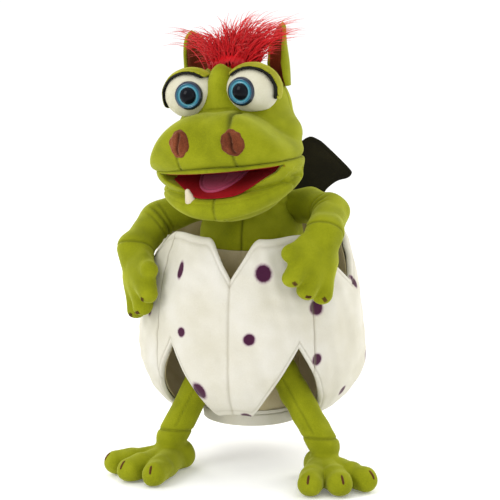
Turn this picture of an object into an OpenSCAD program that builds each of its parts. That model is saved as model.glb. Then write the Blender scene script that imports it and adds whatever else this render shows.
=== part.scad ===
// Dragon-in-an-egg hand puppet with a moving mouth.
// Origin: centre of the hand opening under the egg. +Z up, the puppet faces -Y, its own left side is +X.

/* [Egg] */
// Widest outer radius of the egg
egg_r = 103; // [98:1:108]
// Height of the egg's widest point above the hand opening
egg_belly_z = 68; // [62:1:74]
// Thickness of the padded outer shell
egg_wall = 5; // [3:0.5:6]
// Thickness of the cotton lining
lining_wall = 1.5; // [1:0.5:2]

/* [Body sleeve] */
// Inner radius of the hem ring that the hand goes through
cuff_r = 42; // [40:0.5:43]
// Height of the hem ring
cuff_h = 14; // [10:1:18]
// Height of the sleeve's top, where the neck starts
sleeve_top_z = 202; // [200:0.5:203]

/* [Head] */
// Sideways lean of the head at rest, degrees
head_roll = -6; // [-7:1:-2]
// How far the head is turned at rest, degrees
head_yaw = -8; // [-10:1:0]
// Half the muzzle's width at the mouth corners
muzzle_half_w = 72; // [68:1:74]
// How far the mouth stands open at rest, degrees
jaw_rest = 18; // [15:1:19]
// Radius of the printed iris
iris_r = 12; // [10:0.5:13]
// Radius of the pupil dome
pupil_r = 7.5; // [6:0.5:8.5]

/* [Limbs] */
// Radius of the arm tubes
arm_r = 15.5; // [13:0.5:16]
// Radius of the leg tubes
leg_r = 14; // [12:0.5:14.5]
// Length of the middle toe from the ankle
toe_len = 60; // [56:1:66]

/* [Hidden] */

FACETS = 64;
SOFT_FACETS = 16;
BIG = 400;
$fn = FACETS;

LIME = [0.56, 0.60, 0.08];
CREAM = [0.93, 0.92, 0.87];
BEIGE = [0.85, 0.80, 0.66];
BROWN = [0.50, 0.20, 0.08];
RED = [0.72, 0.02, 0.06];
PINK = [0.82, 0.35, 0.48];

// --- Small helpers ---

function unit(v) = v / norm(v);
function between(a, b, t) = a + (b - a) * t;

module ellipsoid(r) { scale(r) sphere(1); }

module ball(p, r) { translate(p) sphere(r, $fn = SOFT_FACETS); }

// A stuffed tube with round ends, from p to q, with a radius at each end.
module stuffed_tube(p, q, r1, r2) {
    d = q - p;
    len = norm(d);
    steps = 6;
    arc1 = [for (i = [0:steps]) let (a = -90 + 90 * i / steps) [r1 * cos(a), r1 * sin(a)]];
    arc2 = [for (i = [0:steps]) let (a = 90 * i / steps) [r2 * cos(a), len + r2 * sin(a)]];
    translate(p)
        rotate([0, acos(d[2] / len), atan2(d[1], d[0])])
            rotate_extrude() polygon(concat(arc1, arc2));
}

// --- The egg: four quilted panels over a lining ---

EGG_UP = 187;
EGG_DOWN = 78.8;
EGG_STEPS = 18;
RIM_Z = 180;
function egg_z(i) = RIM_Z * i / EGG_STEPS;
function egg_outer(z) =
    let (h = z < egg_belly_z ? EGG_DOWN : EGG_UP) egg_r * sqrt(1 - pow((z - egg_belly_z) / h, 2));

// Each notch of the broken rim: its angle from the front, half its width in degrees, and its lowest point.
RIM_NOTCHES = [[0, 17, 144], [80, 33, 134], [-80, 33, 134], [180, 31, 141]];
// Each leg opening: its angle from the front, its peak and half its width at the bottom.
LEG_HOLES = [[36, 84, 56], [-33, 84, 50]];

module shell_ring(out, wall, from, sweep) {
    outer = [for (i = [0:EGG_STEPS]) [egg_outer(egg_z(i)) - out, egg_z(i)]];
    inner = [for (i = [EGG_STEPS:-1:0]) [egg_outer(egg_z(i)) - out - wall, egg_z(i)]];
    rotate([0, 0, from]) rotate_extrude(angle = sweep) polygon(concat(outer, inner));
}

module rim_cuts() {
    for (n = RIM_NOTCHES) {
        half = egg_r * tan(n[1]);
        rotate([0, 0, n[0]]) rotate([90, 0, 0])
            linear_extrude(egg_r + 20) polygon([[0, n[2]], [half, RIM_Z + 8], [-half, RIM_Z + 8]]);
    }
}

module leg_cuts() {
    for (h = LEG_HOLES)
        rotate([0, 0, h[0]]) rotate([90, 0, 0]) linear_extrude(egg_r + 20)
            polygon([[0, h[1]], [h[2], -8], [-h[2], -8]]);
}

module egg_panel(from) {
    color(CREAM) difference() {
        shell_ring(0, egg_wall, from, 90);
        rim_cuts();
        leg_cuts();
    }
}

module egg_front() { egg_panel(225); }
module egg_left() { egg_panel(315); }
module egg_back() { egg_panel(45); }
module egg_right() { egg_panel(135); }

module egg_lining() {
    color(BEIGE) difference() {
        shell_ring(egg_wall, lining_wall, 0, 360);
        rim_cuts();
        leg_cuts();
    }
}

// --- The sleeve that the forearm fills ---

SLEEVE_WALL = 4;
SHOULDER_R = 47.5;
CUFF_WALL = 3.5;

module sleeve_cuff() {
    color(LIME) difference() {
        cylinder(h = cuff_h, r = cuff_r + CUFF_WALL);
        translate([0, 0, -1]) cylinder(h = cuff_h + 2, r = cuff_r);
    }
}

module body_sleeve() {
    chest = cuff_r + CUFF_WALL;
    outer = [[chest, cuff_h], [chest, 120], [SHOULDER_R, 150], [SHOULDER_R, 176], [SHOULDER_R - 3, 186],
        [SHOULDER_R - 9, 194], [NECK_R + 1, 199], [NECK_R, sleeve_top_z]];
    inner = [for (i = [len(outer) - 1:-1:0]) [outer[i][0] - SLEEVE_WALL, outer[i][1]]];
    color(LIME) rotate_extrude() polygon(concat(outer, inner));
}

// --- Wings: flat scalloped felt, sewn to the back of the sleeve ---

WING_ROOT = [4, 50, -4];
WING_SWEEP = 14;
WING_T = 4;
WING_OUTLINE = [[0, 184], [0, 208], [14, 236], [36, 258], [48, 257], [60, 247], [78, 229], [80, 224],
    [76, 220], [66, 217], [56, 209], [50, 199], [40, 204], [28, 200], [20, 192], [10, 190]];

module wing(side) {
    color([0.07, 0.06, 0.05]) mirror([side < 0 ? 1 : 0, 0, 0])
        translate(WING_ROOT) rotate([0, 0, WING_SWEEP]) rotate([90, 0, 0])
            linear_extrude(WING_T, center = true) polygon(WING_OUTLINE);
}

module wing_left() { wing(1); }
module wing_right() { wing(-1); }

// --- Neck: two gathered rings of the sleeve ---

NECK_R = 36;
NECK_WALL = 3.5;
NECK_LOWER = [0, 0, 208];
NECK_UPPER = [0, 0, 220.5];

module neck_ring(p, h) {
    color(LIME) translate(p) difference() {
        cylinder(h = h, r = NECK_R);
        translate([0, 0, -1]) cylinder(h = h + 2, r = NECK_R - NECK_WALL);
    }
}

module neck_lower() { neck_ring(NECK_LOWER, 6); }
module neck_upper() { neck_ring(NECK_UPPER, 9); }

// --- Head. Its frame has the mouth's hinge line as X, with the mouth opening towards -Y ---

HINGE = [-5, -40, 240];
NECK_BACK = 40;
FACE_Y = -20;
MUZZLE_TOP = 54.1;
PALATE_W = 104;
PALATE_LEN = 66;
POCKET = [88, 40, 24];
PALM_W = 80;
PALATE_BACK = 5;

module in_head() { translate(HINGE) rotate([0, head_roll, head_yaw]) children(); }
module in_jaw() { in_head() rotate([jaw_rest, 0, 0]) children(); }

module behind_face() { translate([-BIG / 2, FACE_Y, -BIG / 2]) cube(BIG); }
module ahead_of_face() { translate([-BIG / 2, FACE_Y - BIG, -BIG / 2]) cube(BIG); }
module above(z) { translate([-BIG / 2, -BIG / 2, z]) cube(BIG); }
module below(z) { translate([-BIG / 2, -BIG / 2, z - BIG]) cube(BIG); }

// The room that the four fingers fill, from the neck to the nose.
module finger_room(grow) {
    translate([0, FACE_Y, 8 - grow]) intersection() {
        scale([(POCKET[0] / 2 + grow) / 50, (POCKET[1] + grow) / 50, 1]) cylinder(h = POCKET[2] + 2 * grow, r = 50);
        translate([-BIG / 2, -BIG, -1]) cube(BIG);
    }
}

module cranium(grow) { translate([0, 14, 46]) ellipsoid([50 + grow, 50 + grow, 47 + grow]); }
module cheeks() { translate([0, 4, 25]) ellipsoid([62, 46, 33]); }
module bridge(grow) { translate([0, -18, 60]) ellipsoid([13 + grow, 17 + grow, 32 + grow]); }

module head_back() {
    color(LIME) in_head() difference() {
        union() {
            intersection() {
                union() {
                    cranium(0);
                    cheeks();
                }
                behind_face();
            }
            intersection() {
                bridge(0);
                above(MUZZLE_TOP);
            }
            translate([0, NECK_BACK, -4]) cylinder(h = 24, r = NECK_R);
        }
        // Open jaw: nothing of the head reaches below the mouth line in front of the neck.
        translate([-BIG / 2, -BIG, -BIG]) cube([BIG, BIG + 3, BIG + 1.2]);
        // Palm room, between the neck and the finger pocket.
        translate([-PALM_W / 2, FACE_Y - 1, 6.5]) cube([PALM_W, 56, POCKET[2] + 2]);
        translate([0, NECK_BACK, -20]) cylinder(h = 40, r = NECK_R - NECK_WALL);
        palate_room();
        // Room for the washers behind the eyes.
        for (s = [-1, 1]) translate([s * EYE[0], FACE_Y - 1, EYE[2]]) rotate([-90, 0, 0]) cylinder(h = 9, r = 8);
    }
}

module muzzle_form() { translate([0, -20, 25]) ellipsoid([muzzle_half_w, 60, 29]); }

module muzzle() {
    color(LIME) in_head() difference() {
        intersection() {
            muzzle_form();
            ahead_of_face();
            above(1.2);
        }
        finger_room(1.5);
        palate_room();
        nostril_post(0);
    }
}

// A half oval, the plan of the mouth plates, from z up to z + h.
module palate_plan(z, h, grow) {
    translate([0, 0, z]) intersection() {
        scale([(PALATE_W / 2 + grow) / 50, (PALATE_LEN + grow) / 50, 1]) cylinder(h = h, r = 50);
        translate([-BIG / 2, -PALATE_BACK - BIG, -1]) cube(BIG);
    }
}

module palate_room() { palate_plan(-2, 8.5, 0.1); }

module upper_mouth_plate() { color("dimgray") in_head() palate_plan(3.5, 3, 0); }

module upper_palate() { color(RED) in_head() palate_plan(1.5, 2, 0); }

module finger_pocket() {
    color(BEIGE) in_head() difference() {
        finger_room(1.4);
        translate([0, FACE_Y + 0.5, 8]) scale([POCKET[0] / 100, POCKET[1] / 50, 1]) cylinder(h = POCKET[2], r = 50);
    }
}

// Eyes: stuffed white domes with a plastic iris and pupil on a shank
EYE = [29, FACE_Y, 67];
EYE_FORM = [24, 20, 21];
LID_SLANT = 28;
LID_LIFT = 16;
LASH_H = 2.4;

module eye_dome(side, grow) {
    translate([side * EYE[0], EYE[1], EYE[2]]) ellipsoid(EYE_FORM + [grow, grow, grow]);
}

module eyeball(side) {
    color("ivory") in_head() difference() {
        intersection() {
            eye_dome(side, 0);
            ahead_of_face();
            above(MUZZLE_TOP);
        }
        bridge(0.2);
        eye_socket(side, iris_r, -12);
    }
}

// The axis of the plastic eye, looking slightly inwards.
module on_gaze(side) {
    translate([side * (EYE[0] - 3), EYE[1], EYE[2]]) rotate([90, 0, side * -4]) children();
}

module eye_socket(side, r, from) { on_gaze(side) translate([0, 0, 17 + from + 12]) cylinder(h = 20, r = r); }

module iris(side) {
    color([0.10, 0.45, 0.60]) in_head() on_gaze(side) translate([0, 0, 17]) difference() {
        cylinder(h = 4, r1 = iris_r, r2 = iris_r - 2);
        translate([0, 0, 1]) cylinder(h = 4, r = pupil_r);
    }
}

module pupil(side) {
    color([0.02, 0.02, 0.02]) in_head() on_gaze(side) translate([0, 0, 18]) intersection() {
        cylinder(h = 8, r = pupil_r);
        translate([0, 0, -6]) sphere(11);
    }
}

module eye_washer(side) {
    color("white") in_head() translate([side * EYE[0], FACE_Y + 1, EYE[2]]) rotate([-90, 0, 0]) cylinder(h = 3, r = 7);
}

// Everything of an eyelid lies above this slanted plane, which drops towards the outer corner.
module lid_side(side, lift) {
    translate([side * EYE[0], EYE[1], EYE[2]]) rotate([0, side * LID_SLANT, 0])
        translate([-BIG / 2, -BIG / 2, lift]) cube(BIG);
}

module eyelid(side) {
    color(LIME) in_head() difference() {
        intersection() {
            eye_dome(side, 4.5);
            ahead_of_face();
            lid_side(side, LID_LIFT + 0.1);
        }
        eye_dome(side, 0.3);
        bridge(0.2);
    }
}

module lash(side) {
    color([0.03, 0.03, 0.03]) in_head() difference() {
        intersection() {
            eye_dome(side, 2.5);
            ahead_of_face();
            lid_side(side, LID_LIFT - LASH_H);
        }
        eye_dome(side, 0.3);
        lid_side(side, LID_LIFT);
        bridge(0.2);
    }
}

module eyeball_left() { eyeball(1); }
module eyeball_right() { eyeball(-1); }
module iris_left() { iris(1); }
module iris_right() { iris(-1); }
module pupil_left() { pupil(1); }
module pupil_right() { pupil(-1); }
module eye_washer_left() { eye_washer(1); }
module eye_washer_right() { eye_washer(-1); }
module eyelid_left() { eyelid(1); }
module eyelid_right() { eyelid(-1); }
module lash_left() { lash(1); }
module lash_right() { lash(-1); }

// Nostrils: oval patches set into the nose
NOSTRIL = [24, -66, 29];

module nostril_post(inset) {
    for (s = [-1, 1]) nostril_oval(s, inset);
}

module nostril_oval(side, inset) {
    translate([side * NOSTRIL[0], NOSTRIL[1], NOSTRIL[2]]) rotate([90, 0, side * 12])
        scale([1, 1.25, 1]) cylinder(h = 20, r = 10 - inset);
}

module nostril(side) {
    color(BROWN) in_head() difference() {
        intersection() {
            nostril_oval(side, 0.15);
            muzzle_form();
        }
        translate([side * NOSTRIL[0], NOSTRIL[1] - 1, NOSTRIL[2]]) rotate([90, 0, side * 12])
            translate([0, 0, -1]) cylinder(h = 3, r = 30);
    }
}

module nostril_left() { nostril(1); }
module nostril_right() { nostril(-1); }

// Hair: the outer form of the long tuft
module hair_tuft() {
    color(RED) in_head() difference() {
        hull() {
            ball([2, 3, 86], 15);
            for (p = [[-28, -2, 116], [-12, -9, 126], [14, -11, 130], [44, -9, 132], [62, -4, 124]]) ball(p, 4);
        }
        cranium(0.3);
        bridge(0.3);
    }
}

// Ears: stiff cupped leaves standing on the crown, green outside and brown inside
EAR_AT = [34, 22, 70];
EAR_R = 15;
EAR_WALL = 3.5;
EAR_FACING = -30;
EAR_LEAF = [[-15.5, -2], [-15.5, 20], [-12, 38], [-6, 53], [0, 62], [6, 53], [12, 38], [15.5, 20], [15.5, -2]];

module ear_shell(side, r, wall, fit) {
    in_head() mirror([side < 0 ? 1 : 0, 0, 0]) difference() {
        translate(EAR_AT) rotate([0, 0, EAR_FACING]) intersection() {
            rotate([0, 0, 2]) rotate_extrude(angle = 176) translate([r - wall, 0]) square([wall, 64]);
            rotate([90, 0, 0]) linear_extrude(80, center = true) scale([fit, fit]) polygon(EAR_LEAF);
        }
        cranium(1.2);
    }
}

module ear(side) { color(LIME) ear_shell(side, EAR_R, EAR_WALL, 1); }
module ear_lining(side) { color(BROWN) ear_shell(side, EAR_R - EAR_WALL, 1.5, 0.94); }

module ear_left() { ear(1); }
module ear_right() { ear(-1); }
module ear_lining_left() { ear_lining(1); }
module ear_lining_right() { ear_lining(-1); }

// --- Lower jaw. Its frame is the head's, turned about the hinge line; z = 0 is the closed mouth line ---

JAW_REAR = 54;
THUMB = [40, 36, 18];

module jaw_form() {
    intersection() {
        union() {
            translate([0, -16, -3]) ellipsoid([67, 60, 28]);
            translate([0, -18, -6]) ellipsoid([50, 50, 36]);
        }
        below(-1.2);
        // The rear face leans so that the open jaw stays clear of the throat.
        rotate([JAW_REAR - 90, 0, 0]) translate([-BIG / 2, -BIG, -BIG]) cube([BIG, BIG, 2 * BIG]);
        translate([-BIG / 2, -BIG - 4, -BIG]) cube(BIG);
    }
}

module thumb_room(grow) {
    translate([-THUMB[0] / 2 - grow, -8 - THUMB[1] - grow, -8 - THUMB[2] - grow])
        cube([THUMB[0] + 2 * grow, THUMB[1] + grow + 20, THUMB[2] + 2 * grow]);
}

module lower_jaw() {
    color(LIME) in_jaw() difference() {
        jaw_form();
        thumb_room(1.5);
        palate_plan(-6.5, 20, 0.1);
        tooth_form(0.2);
    }
}

module lower_mouth_plate() { color("dimgray") in_jaw() palate_plan(-6.5, 3, 0); }

module lower_palate() { color(RED) in_jaw() palate_plan(-3.5, 2, 0); }

module thumb_pocket() {
    color(BEIGE) in_jaw() intersection() {
        difference() {
            thumb_room(1.4);
            translate([-THUMB[0] / 2, -8 - THUMB[1], -8 - THUMB[2]]) cube([THUMB[0], THUMB[1] + 40, THUMB[2]]);
        }
        jaw_form();
        below(-6.5);
    }
}

TOOTH = [-24, -63.8, -2];

module tooth_form(grow) {
    translate(TOOTH) difference() {
        ellipsoid([5 + grow, 4.5 + grow, 8.5 + grow]);
        translate([0, 0, -54]) cube(100, center = true);
    }
}

module tooth() { color("ivory") in_jaw() tooth_form(0); }

// Tongue: a padded oval on the lower palate
TONGUE = [28, 48, 2.4];

module tongue() {
    color(PINK) in_jaw() intersection() {
        translate([0, -8, -1.2]) scale([TONGUE[0] / 10, TONGUE[1] / 10, 1]) cylinder(h = TONGUE[2], r = 10);
        translate([-BIG / 2, -12 - BIG, -BIG / 2]) cube(BIG);
    }
}

// --- Arms: two stuffed tubes and a mitten hand each ---

SHOULDER_L = [53, -3, 200];
ELBOW_L = [77, -24, 197];
WRIST_L = [79, -64, 186];
TIP_L = [65, -94, 131];
SHOULDER_R_AT = [-54, -3, 198];
ELBOW_R = [-86, -14, 183];
WRIST_R = [-98, -48, 162];
TIP_R = [-82, -80, 108];
LIMB_GAP = 2;

module arm_part(a, b, r1, r2, start, end) {
    d = unit(b - a);
    color(LIME) stuffed_tube(a + d * start, b - d * end, r1, r2);
}

module upper_arm_left() { arm_part(SHOULDER_L, ELBOW_L, arm_r - 1, arm_r, 6, arm_r + LIMB_GAP); }
module forearm_left() { arm_part(ELBOW_L, WRIST_L, arm_r, arm_r - 1, arm_r + LIMB_GAP, arm_r + LIMB_GAP); }
module upper_arm_right() { arm_part(SHOULDER_R_AT, ELBOW_R, arm_r - 1, arm_r, 6, arm_r + LIMB_GAP); }
module forearm_right() { arm_part(ELBOW_R, WRIST_R, arm_r, arm_r - 1, arm_r + LIMB_GAP, arm_r + LIMB_GAP); }

// A mitten hand at a wrist, pointing to tip, its palm towards the egg's axis.
module mitten(wrist, tip, thumb_side) {
    down = unit(tip - wrist);
    out0 = [wrist[0] + tip[0], wrist[1] + tip[1], 0];
    out = unit(out0 - (out0 * down) * down);
    across = cross(down, out) * thumb_side;
    reach = norm(tip - wrist);
    module at_hand(u, v, r) { ball(wrist + down * u + across * v, r); }
    color(LIME) {
        hull() { at_hand(17, 0, 13.5); at_hand(27, 9, 12); at_hand(27, -9, 12); }
        hull() { at_hand(27, 11, 11.5); at_hand(40, 13, 10.5); }
        hull() { at_hand(27, -11, 11.5); at_hand(40, -13, 10.5); }
        hull() { at_hand(27, 0, 12); at_hand(44, 0, 11); }
        hull() { at_hand(40, -13, 10); at_hand(reach - 12, -17, 8); }
        hull() { at_hand(42, 0, 10.5); at_hand(reach - 7, -1, 8.5); }
        hull() { at_hand(40, 13, 10); at_hand(reach - 12, 16, 8); }
        hull() { at_hand(27, 12, 10); at_hand(36, 25, 8); }
    }
}

module hand_left() { mitten(WRIST_L, TIP_L, 1); }
module hand_right() { mitten(WRIST_R, TIP_R, -1); }

// --- Legs and feet ---

HIP_L = [39, -52, 56];
ANKLE_L = [77, -62, -5];
HIP_R = [-33, -53, 50];
ANKLE_R = [-60, -62, -5];
SOLE_Z = -40;
FOOT_TURN_L = 27;
FOOT_TURN_R = -33;

module leg_left() { color(LIME) stuffed_tube(HIP_L, between(HIP_L, ANKLE_L, 0.86), leg_r, leg_r + 0.5); }
module leg_right() { color(LIME) stuffed_tube(HIP_R, between(HIP_R, ANKLE_R, 0.86), leg_r, leg_r + 0.5); }

TOE_SPLAY = 28;
TOE_R = 11.5;

// A foot at an ankle: three padded toes, flat underneath.
module in_foot(ankle, turn) { translate([ankle[0], ankle[1], SOLE_Z]) rotate([0, 0, turn]) children(); }

module toe_at(i, along, z, r) {
    rotate([0, 0, i * TOE_SPLAY]) translate([0, -along, z]) sphere(r, $fn = SOFT_FACETS);
}

module foot(ankle, turn) {
    color(LIME) in_foot(ankle, turn) intersection() {
        union() {
            for (i = [-1, 0, 1]) {
                hull() { toe_at(i, 5, 12, TOE_R + 1.2); toe_at(i, toe_len - 21, 11, TOE_R); }
                hull() { toe_at(i, toe_len - 26, 11.2, TOE_R - 0.6); toe_at(i, toe_len - TOE_R + 5, 10.3, TOE_R - 0.9); }
            }
            hull() { ball([0, -13, 12.3], 12.7); ball([0, 9.5, 12.1], 13.3); }
        }
        translate([-BIG / 2, -BIG / 2, 0]) cube(BIG);
    }
}

module toe_claws(ankle, turn) {
    color(BROWN) in_foot(ankle, turn) for (i = [-1, 0, 1])
        rotate([0, 0, i * TOE_SPLAY]) translate([0, -toe_len - 6.6, 14]) rotate([30, 0, 0])
            scale([1.4, 1.4, 4]) sphere(1);
}

module foot_left() { foot(ANKLE_L, FOOT_TURN_L); }
module foot_right() { foot(ANKLE_R, FOOT_TURN_R); }
module toe_claws_left() { toe_claws(ANKLE_L, FOOT_TURN_L); }
module toe_claws_right() { toe_claws(ANKLE_R, FOOT_TURN_R); }

// --- Which nodes to draw ---

body_sleeve();
sleeve_cuff();
egg_front();
egg_left();
egg_right();
egg_back();
egg_lining();
wing_left();
wing_right();
neck_lower();
neck_upper();
head_back();
muzzle();
upper_mouth_plate();
upper_palate();
finger_pocket();
eyeball_left();
eyeball_right();
iris_left();
iris_right();
pupil_left();
pupil_right();
eye_washer_left();
eye_washer_right();
eyelid_left();
eyelid_right();
lash_left();
lash_right();
nostril_left();
nostril_right();
hair_tuft();
ear_left();
ear_right();
ear_lining_left();
ear_lining_right();
lower_jaw();
lower_mouth_plate();
lower_palate();
thumb_pocket();
tooth();
tongue();
upper_arm_left();
forearm_left();
hand_left();
upper_arm_right();
forearm_right();
hand_right();
leg_left();
foot_left();
toe_claws_left();
leg_right();
foot_right();
toe_claws_right();
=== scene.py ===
"""Looks of a moving mouth hand puppet: a stuffed velour hatchling sitting in a quilted egg.

Fields are in millimetres. Every piece becomes a mesh in metres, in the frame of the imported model.
"""

import math

import bpy
import numpy as np
from mathutils import Matrix, Vector


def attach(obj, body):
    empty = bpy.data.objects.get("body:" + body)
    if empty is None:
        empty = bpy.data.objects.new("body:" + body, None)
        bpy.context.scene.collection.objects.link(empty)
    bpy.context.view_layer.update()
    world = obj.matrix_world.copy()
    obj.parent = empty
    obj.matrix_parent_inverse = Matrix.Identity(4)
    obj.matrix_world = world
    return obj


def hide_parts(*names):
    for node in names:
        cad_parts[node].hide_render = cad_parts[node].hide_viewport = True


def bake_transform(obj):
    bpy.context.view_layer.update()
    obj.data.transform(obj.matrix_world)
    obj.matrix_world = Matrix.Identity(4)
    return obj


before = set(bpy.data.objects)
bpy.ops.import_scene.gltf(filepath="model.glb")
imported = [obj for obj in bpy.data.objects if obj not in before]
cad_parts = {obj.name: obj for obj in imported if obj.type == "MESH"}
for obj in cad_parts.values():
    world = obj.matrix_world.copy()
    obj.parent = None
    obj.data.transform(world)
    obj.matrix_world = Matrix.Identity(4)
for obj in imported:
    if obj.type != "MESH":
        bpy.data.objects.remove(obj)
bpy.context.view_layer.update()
MM = 0.001
rng = np.random.default_rng(7)
MIRROR = np.array([-1.0, 1, 1])


def vec(*v):
    return np.array(v, float)


# ---------------------------------------------------------------- fields


def norm(v):
    return np.sqrt((v * v).sum(-1))


def smooth(t):
    t = np.clip(t, 0, 1)
    return t * t * (3 - 2 * t)


def ellipsoid(p, c, r):
    q = (p - np.array(c, float)) / np.array(r, float)
    k0 = norm(q)
    k1 = norm(q / np.array(r, float))
    return k0 * (k0 - 1) / np.maximum(k1, 1e-9)


def oval(x, y, rx, ry):
    k0 = np.sqrt((x / rx) ** 2 + (y / ry) ** 2)
    k1 = np.sqrt((x / rx**2) ** 2 + (y / ry**2) ** 2)
    return k0 * (k0 - 1) / np.maximum(k1, 1e-9)


def cone(p, a, b, ra, rb):
    a, b = np.array(a, float), np.array(b, float)
    ab = b - a
    t = np.clip(((p - a) @ ab) / (ab @ ab), 0, 1)
    return norm(p - (a + t[:, None] * ab)) - (ra + (rb - ra) * t)


def smin(a, b, k):
    h = np.clip(0.5 + 0.5 * (b - a) / k, 0, 1)
    return b + (a - b) * h - k * h * (1 - h)


def smax(a, b, k):
    return -smin(-a, -b, k)


def waves(p, size, seed):
    """A soft wandering value between about -1 and 1, with bumps of the given size in millimetres."""
    r = np.random.default_rng(seed)
    out = np.zeros(len(p))
    for _ in range(7):
        d = r.normal(size=3)
        d *= 2 * math.pi / size * r.uniform(0.6, 1.5) / np.linalg.norm(d)
        out += np.sin(p @ d + r.uniform(0, 6.28))
    return out / 3.0


def rounded(a, b, rim):
    """Inside both a and b, with an edge of radius rim."""
    a, b = a + rim, b + rim
    return np.minimum(np.maximum(a, b), 0) + np.sqrt(np.maximum(a, 0) ** 2 + np.maximum(b, 0) ** 2) - rim


def groove(distance, width):
    return np.exp(-((distance / width) ** 2))


# ---------------------------------------------------------------- meshes


def net(f, lo, hi, step):
    """Surface of f = 0 between two corners, as quads, with vertices settled on it and outward normals."""
    lo = np.array(lo, float)
    n = np.ceil((np.array(hi, float) - lo) / step).astype(int) + 1
    axes = [lo[i] + step * np.arange(n[i]) for i in range(3)]
    points = np.stack(np.meshgrid(*axes, indexing="ij"), -1).reshape(-1, 3)
    chunk = 200000
    v = np.concatenate([f(points[i : i + chunk]) for i in range(0, len(points), chunk)])
    v = v.reshape(n)
    inside = v < 0
    corner = [(i, j, k) for i in (0, 1) for j in (0, 1) for k in (0, 1)]
    count = sum(
        inside[i : n[0] - 1 + i, j : n[1] - 1 + j, k : n[2] - 1 + k].astype(int) for i, j, k in corner
    )
    active = (count > 0) & (count < 8)
    ids = np.full(active.shape, -1)
    cell = np.argwhere(active)
    ids[active] = np.arange(len(cell))
    vals = np.stack([v[cell[:, 0] + i, cell[:, 1] + j, cell[:, 2] + k] for i, j, k in corner], 1)
    total, hits = np.zeros((len(cell), 3)), np.zeros(len(cell))
    for a in range(8):
        for b in range(a + 1, 8):
            ca, cb = np.array(corner[a]), np.array(corner[b])
            if abs(ca - cb).sum() != 1:
                continue
            m = (vals[:, a] < 0) != (vals[:, b] < 0)
            va, vb = vals[m, a], vals[m, b]
            t = va / (va - vb)
            total[m] += ca + t[:, None] * (cb - ca)
            hits[m] += 1
    verts = lo + step * (cell + total / hits[:, None])
    quads = []
    for ax in range(3):
        b, c = (ax + 1) % 3, (ax + 2) % 3
        low, high = [slice(1, -1)] * 3, [slice(1, -1)] * 3
        low[ax], high[ax] = slice(0, -1), slice(1, None)
        one, two = inside[tuple(low)], inside[tuple(high)]
        w = np.argwhere(one != two)
        g = w.copy()
        g[:, b] += 1
        g[:, c] += 1

        def at(db, dc):
            q = g.copy()
            q[:, b] -= db
            q[:, c] -= dc
            return ids[tuple(q.T)]

        quad = np.stack([at(1, 1), at(0, 1), at(0, 0), at(1, 0)], 1)
        back = ~one[tuple(w.T)]
        quad[back] = quad[back][:, ::-1]
        quads.append(quad)
    quads = np.concatenate(quads)
    for _ in range(3):
        move = to_surface(f, verts)
        far = norm(move)
        verts = verts + move * np.minimum(1, step / np.maximum(far, 1e-9))[:, None]
    g = gradient(f, verts)
    return verts, quads, g / np.maximum(norm(g), 1e-9)[:, None]


def to_surface(f, p):
    """The step that brings each point close to the surface f = 0."""
    g = gradient(f, p)
    return -f(p)[:, None] * g / np.maximum((g * g).sum(-1), 0.05)[:, None]


def gradient(f, p, e=0.35):
    out = np.empty_like(p)
    for i in range(3):
        d = np.zeros(3)
        d[i] = e
        out[:, i] = (f(p + d) - f(p - d)) / (2 * e)
    return out


def solid(name, verts, faces, mat, normals=None, marks=None, place=None, smooth_shade=True):
    """A mesh object from millimetre points. marks are values per vertex; place is a 3x3 turn and a shift."""
    verts = np.asarray(verts, float)
    if place is not None:
        turn, shift = place
        verts = verts @ turn.T + shift
        normals = None if normals is None else normals @ turn.T
    me = bpy.data.meshes.new(name)
    me.from_pydata((verts * MM).tolist(), [], [list(map(int, q)) for q in faces])
    me.validate()
    rest = me.attributes.new("rest", "FLOAT_VECTOR", "POINT")
    rest.data.foreach_set("vector", (verts * MM).astype(np.float32).ravel())
    for key, value in (marks or {"crease_shade": np.zeros(len(verts))}).items():
        layer = me.attributes.new(key, "FLOAT", "POINT")
        layer.data.foreach_set("value", np.asarray(value, np.float32))
    if smooth_shade:
        me.shade_smooth()
    if normals is not None:
        me.normals_split_custom_set_from_vertices(normals.tolist())
    me.materials.append(mat)
    ob = bpy.data.objects.new(name, me)
    bpy.context.scene.collection.objects.link(ob)
    return ob


def part_of(verts, faces, normals, marks, keep):
    """The faces where keep is true, with their own vertices."""
    f = faces[keep]
    used, inverse = np.unique(f.ravel(), return_inverse=True)
    return (
        verts[used],
        inverse.reshape(f.shape),
        normals[used],
        {k: v[used] for k, v in marks.items()},
    )


def skin(name, f, lo, hi, step, mat, crease_shade=None, place=None, marks=None, side=1):
    """A piece on the surface of f; side -1 mirrors it, with its faces turned round."""
    verts, faces, normals = net(f, lo, hi, step)
    values = {"crease_shade": crease_shade(verts) if crease_shade else np.zeros(len(verts))}
    for key, fn in (marks or {}).items():
        values[key] = fn(verts)
    if side < 0:
        verts, normals, faces = verts * MIRROR, normals * MIRROR, faces[:, ::-1]
    return solid(name, verts, faces, mat, normals, values, place)


def quads_of(rows, cols, wrap_rows=False, wrap_cols=False):
    """Faces of a grid of points, as corner numbers."""
    i, j = np.meshgrid(np.arange(rows if wrap_rows else rows - 1),
                       np.arange(cols if wrap_cols else cols - 1),
            indexing="ij")
    i, j = i.ravel(), j.ravel()
    i2, j2 = (i + 1) % rows, (j + 1) % cols
    return np.stack([i * cols + j, i * cols + j2, i2 * cols + j2, i2 * cols + j], 1)


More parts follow.
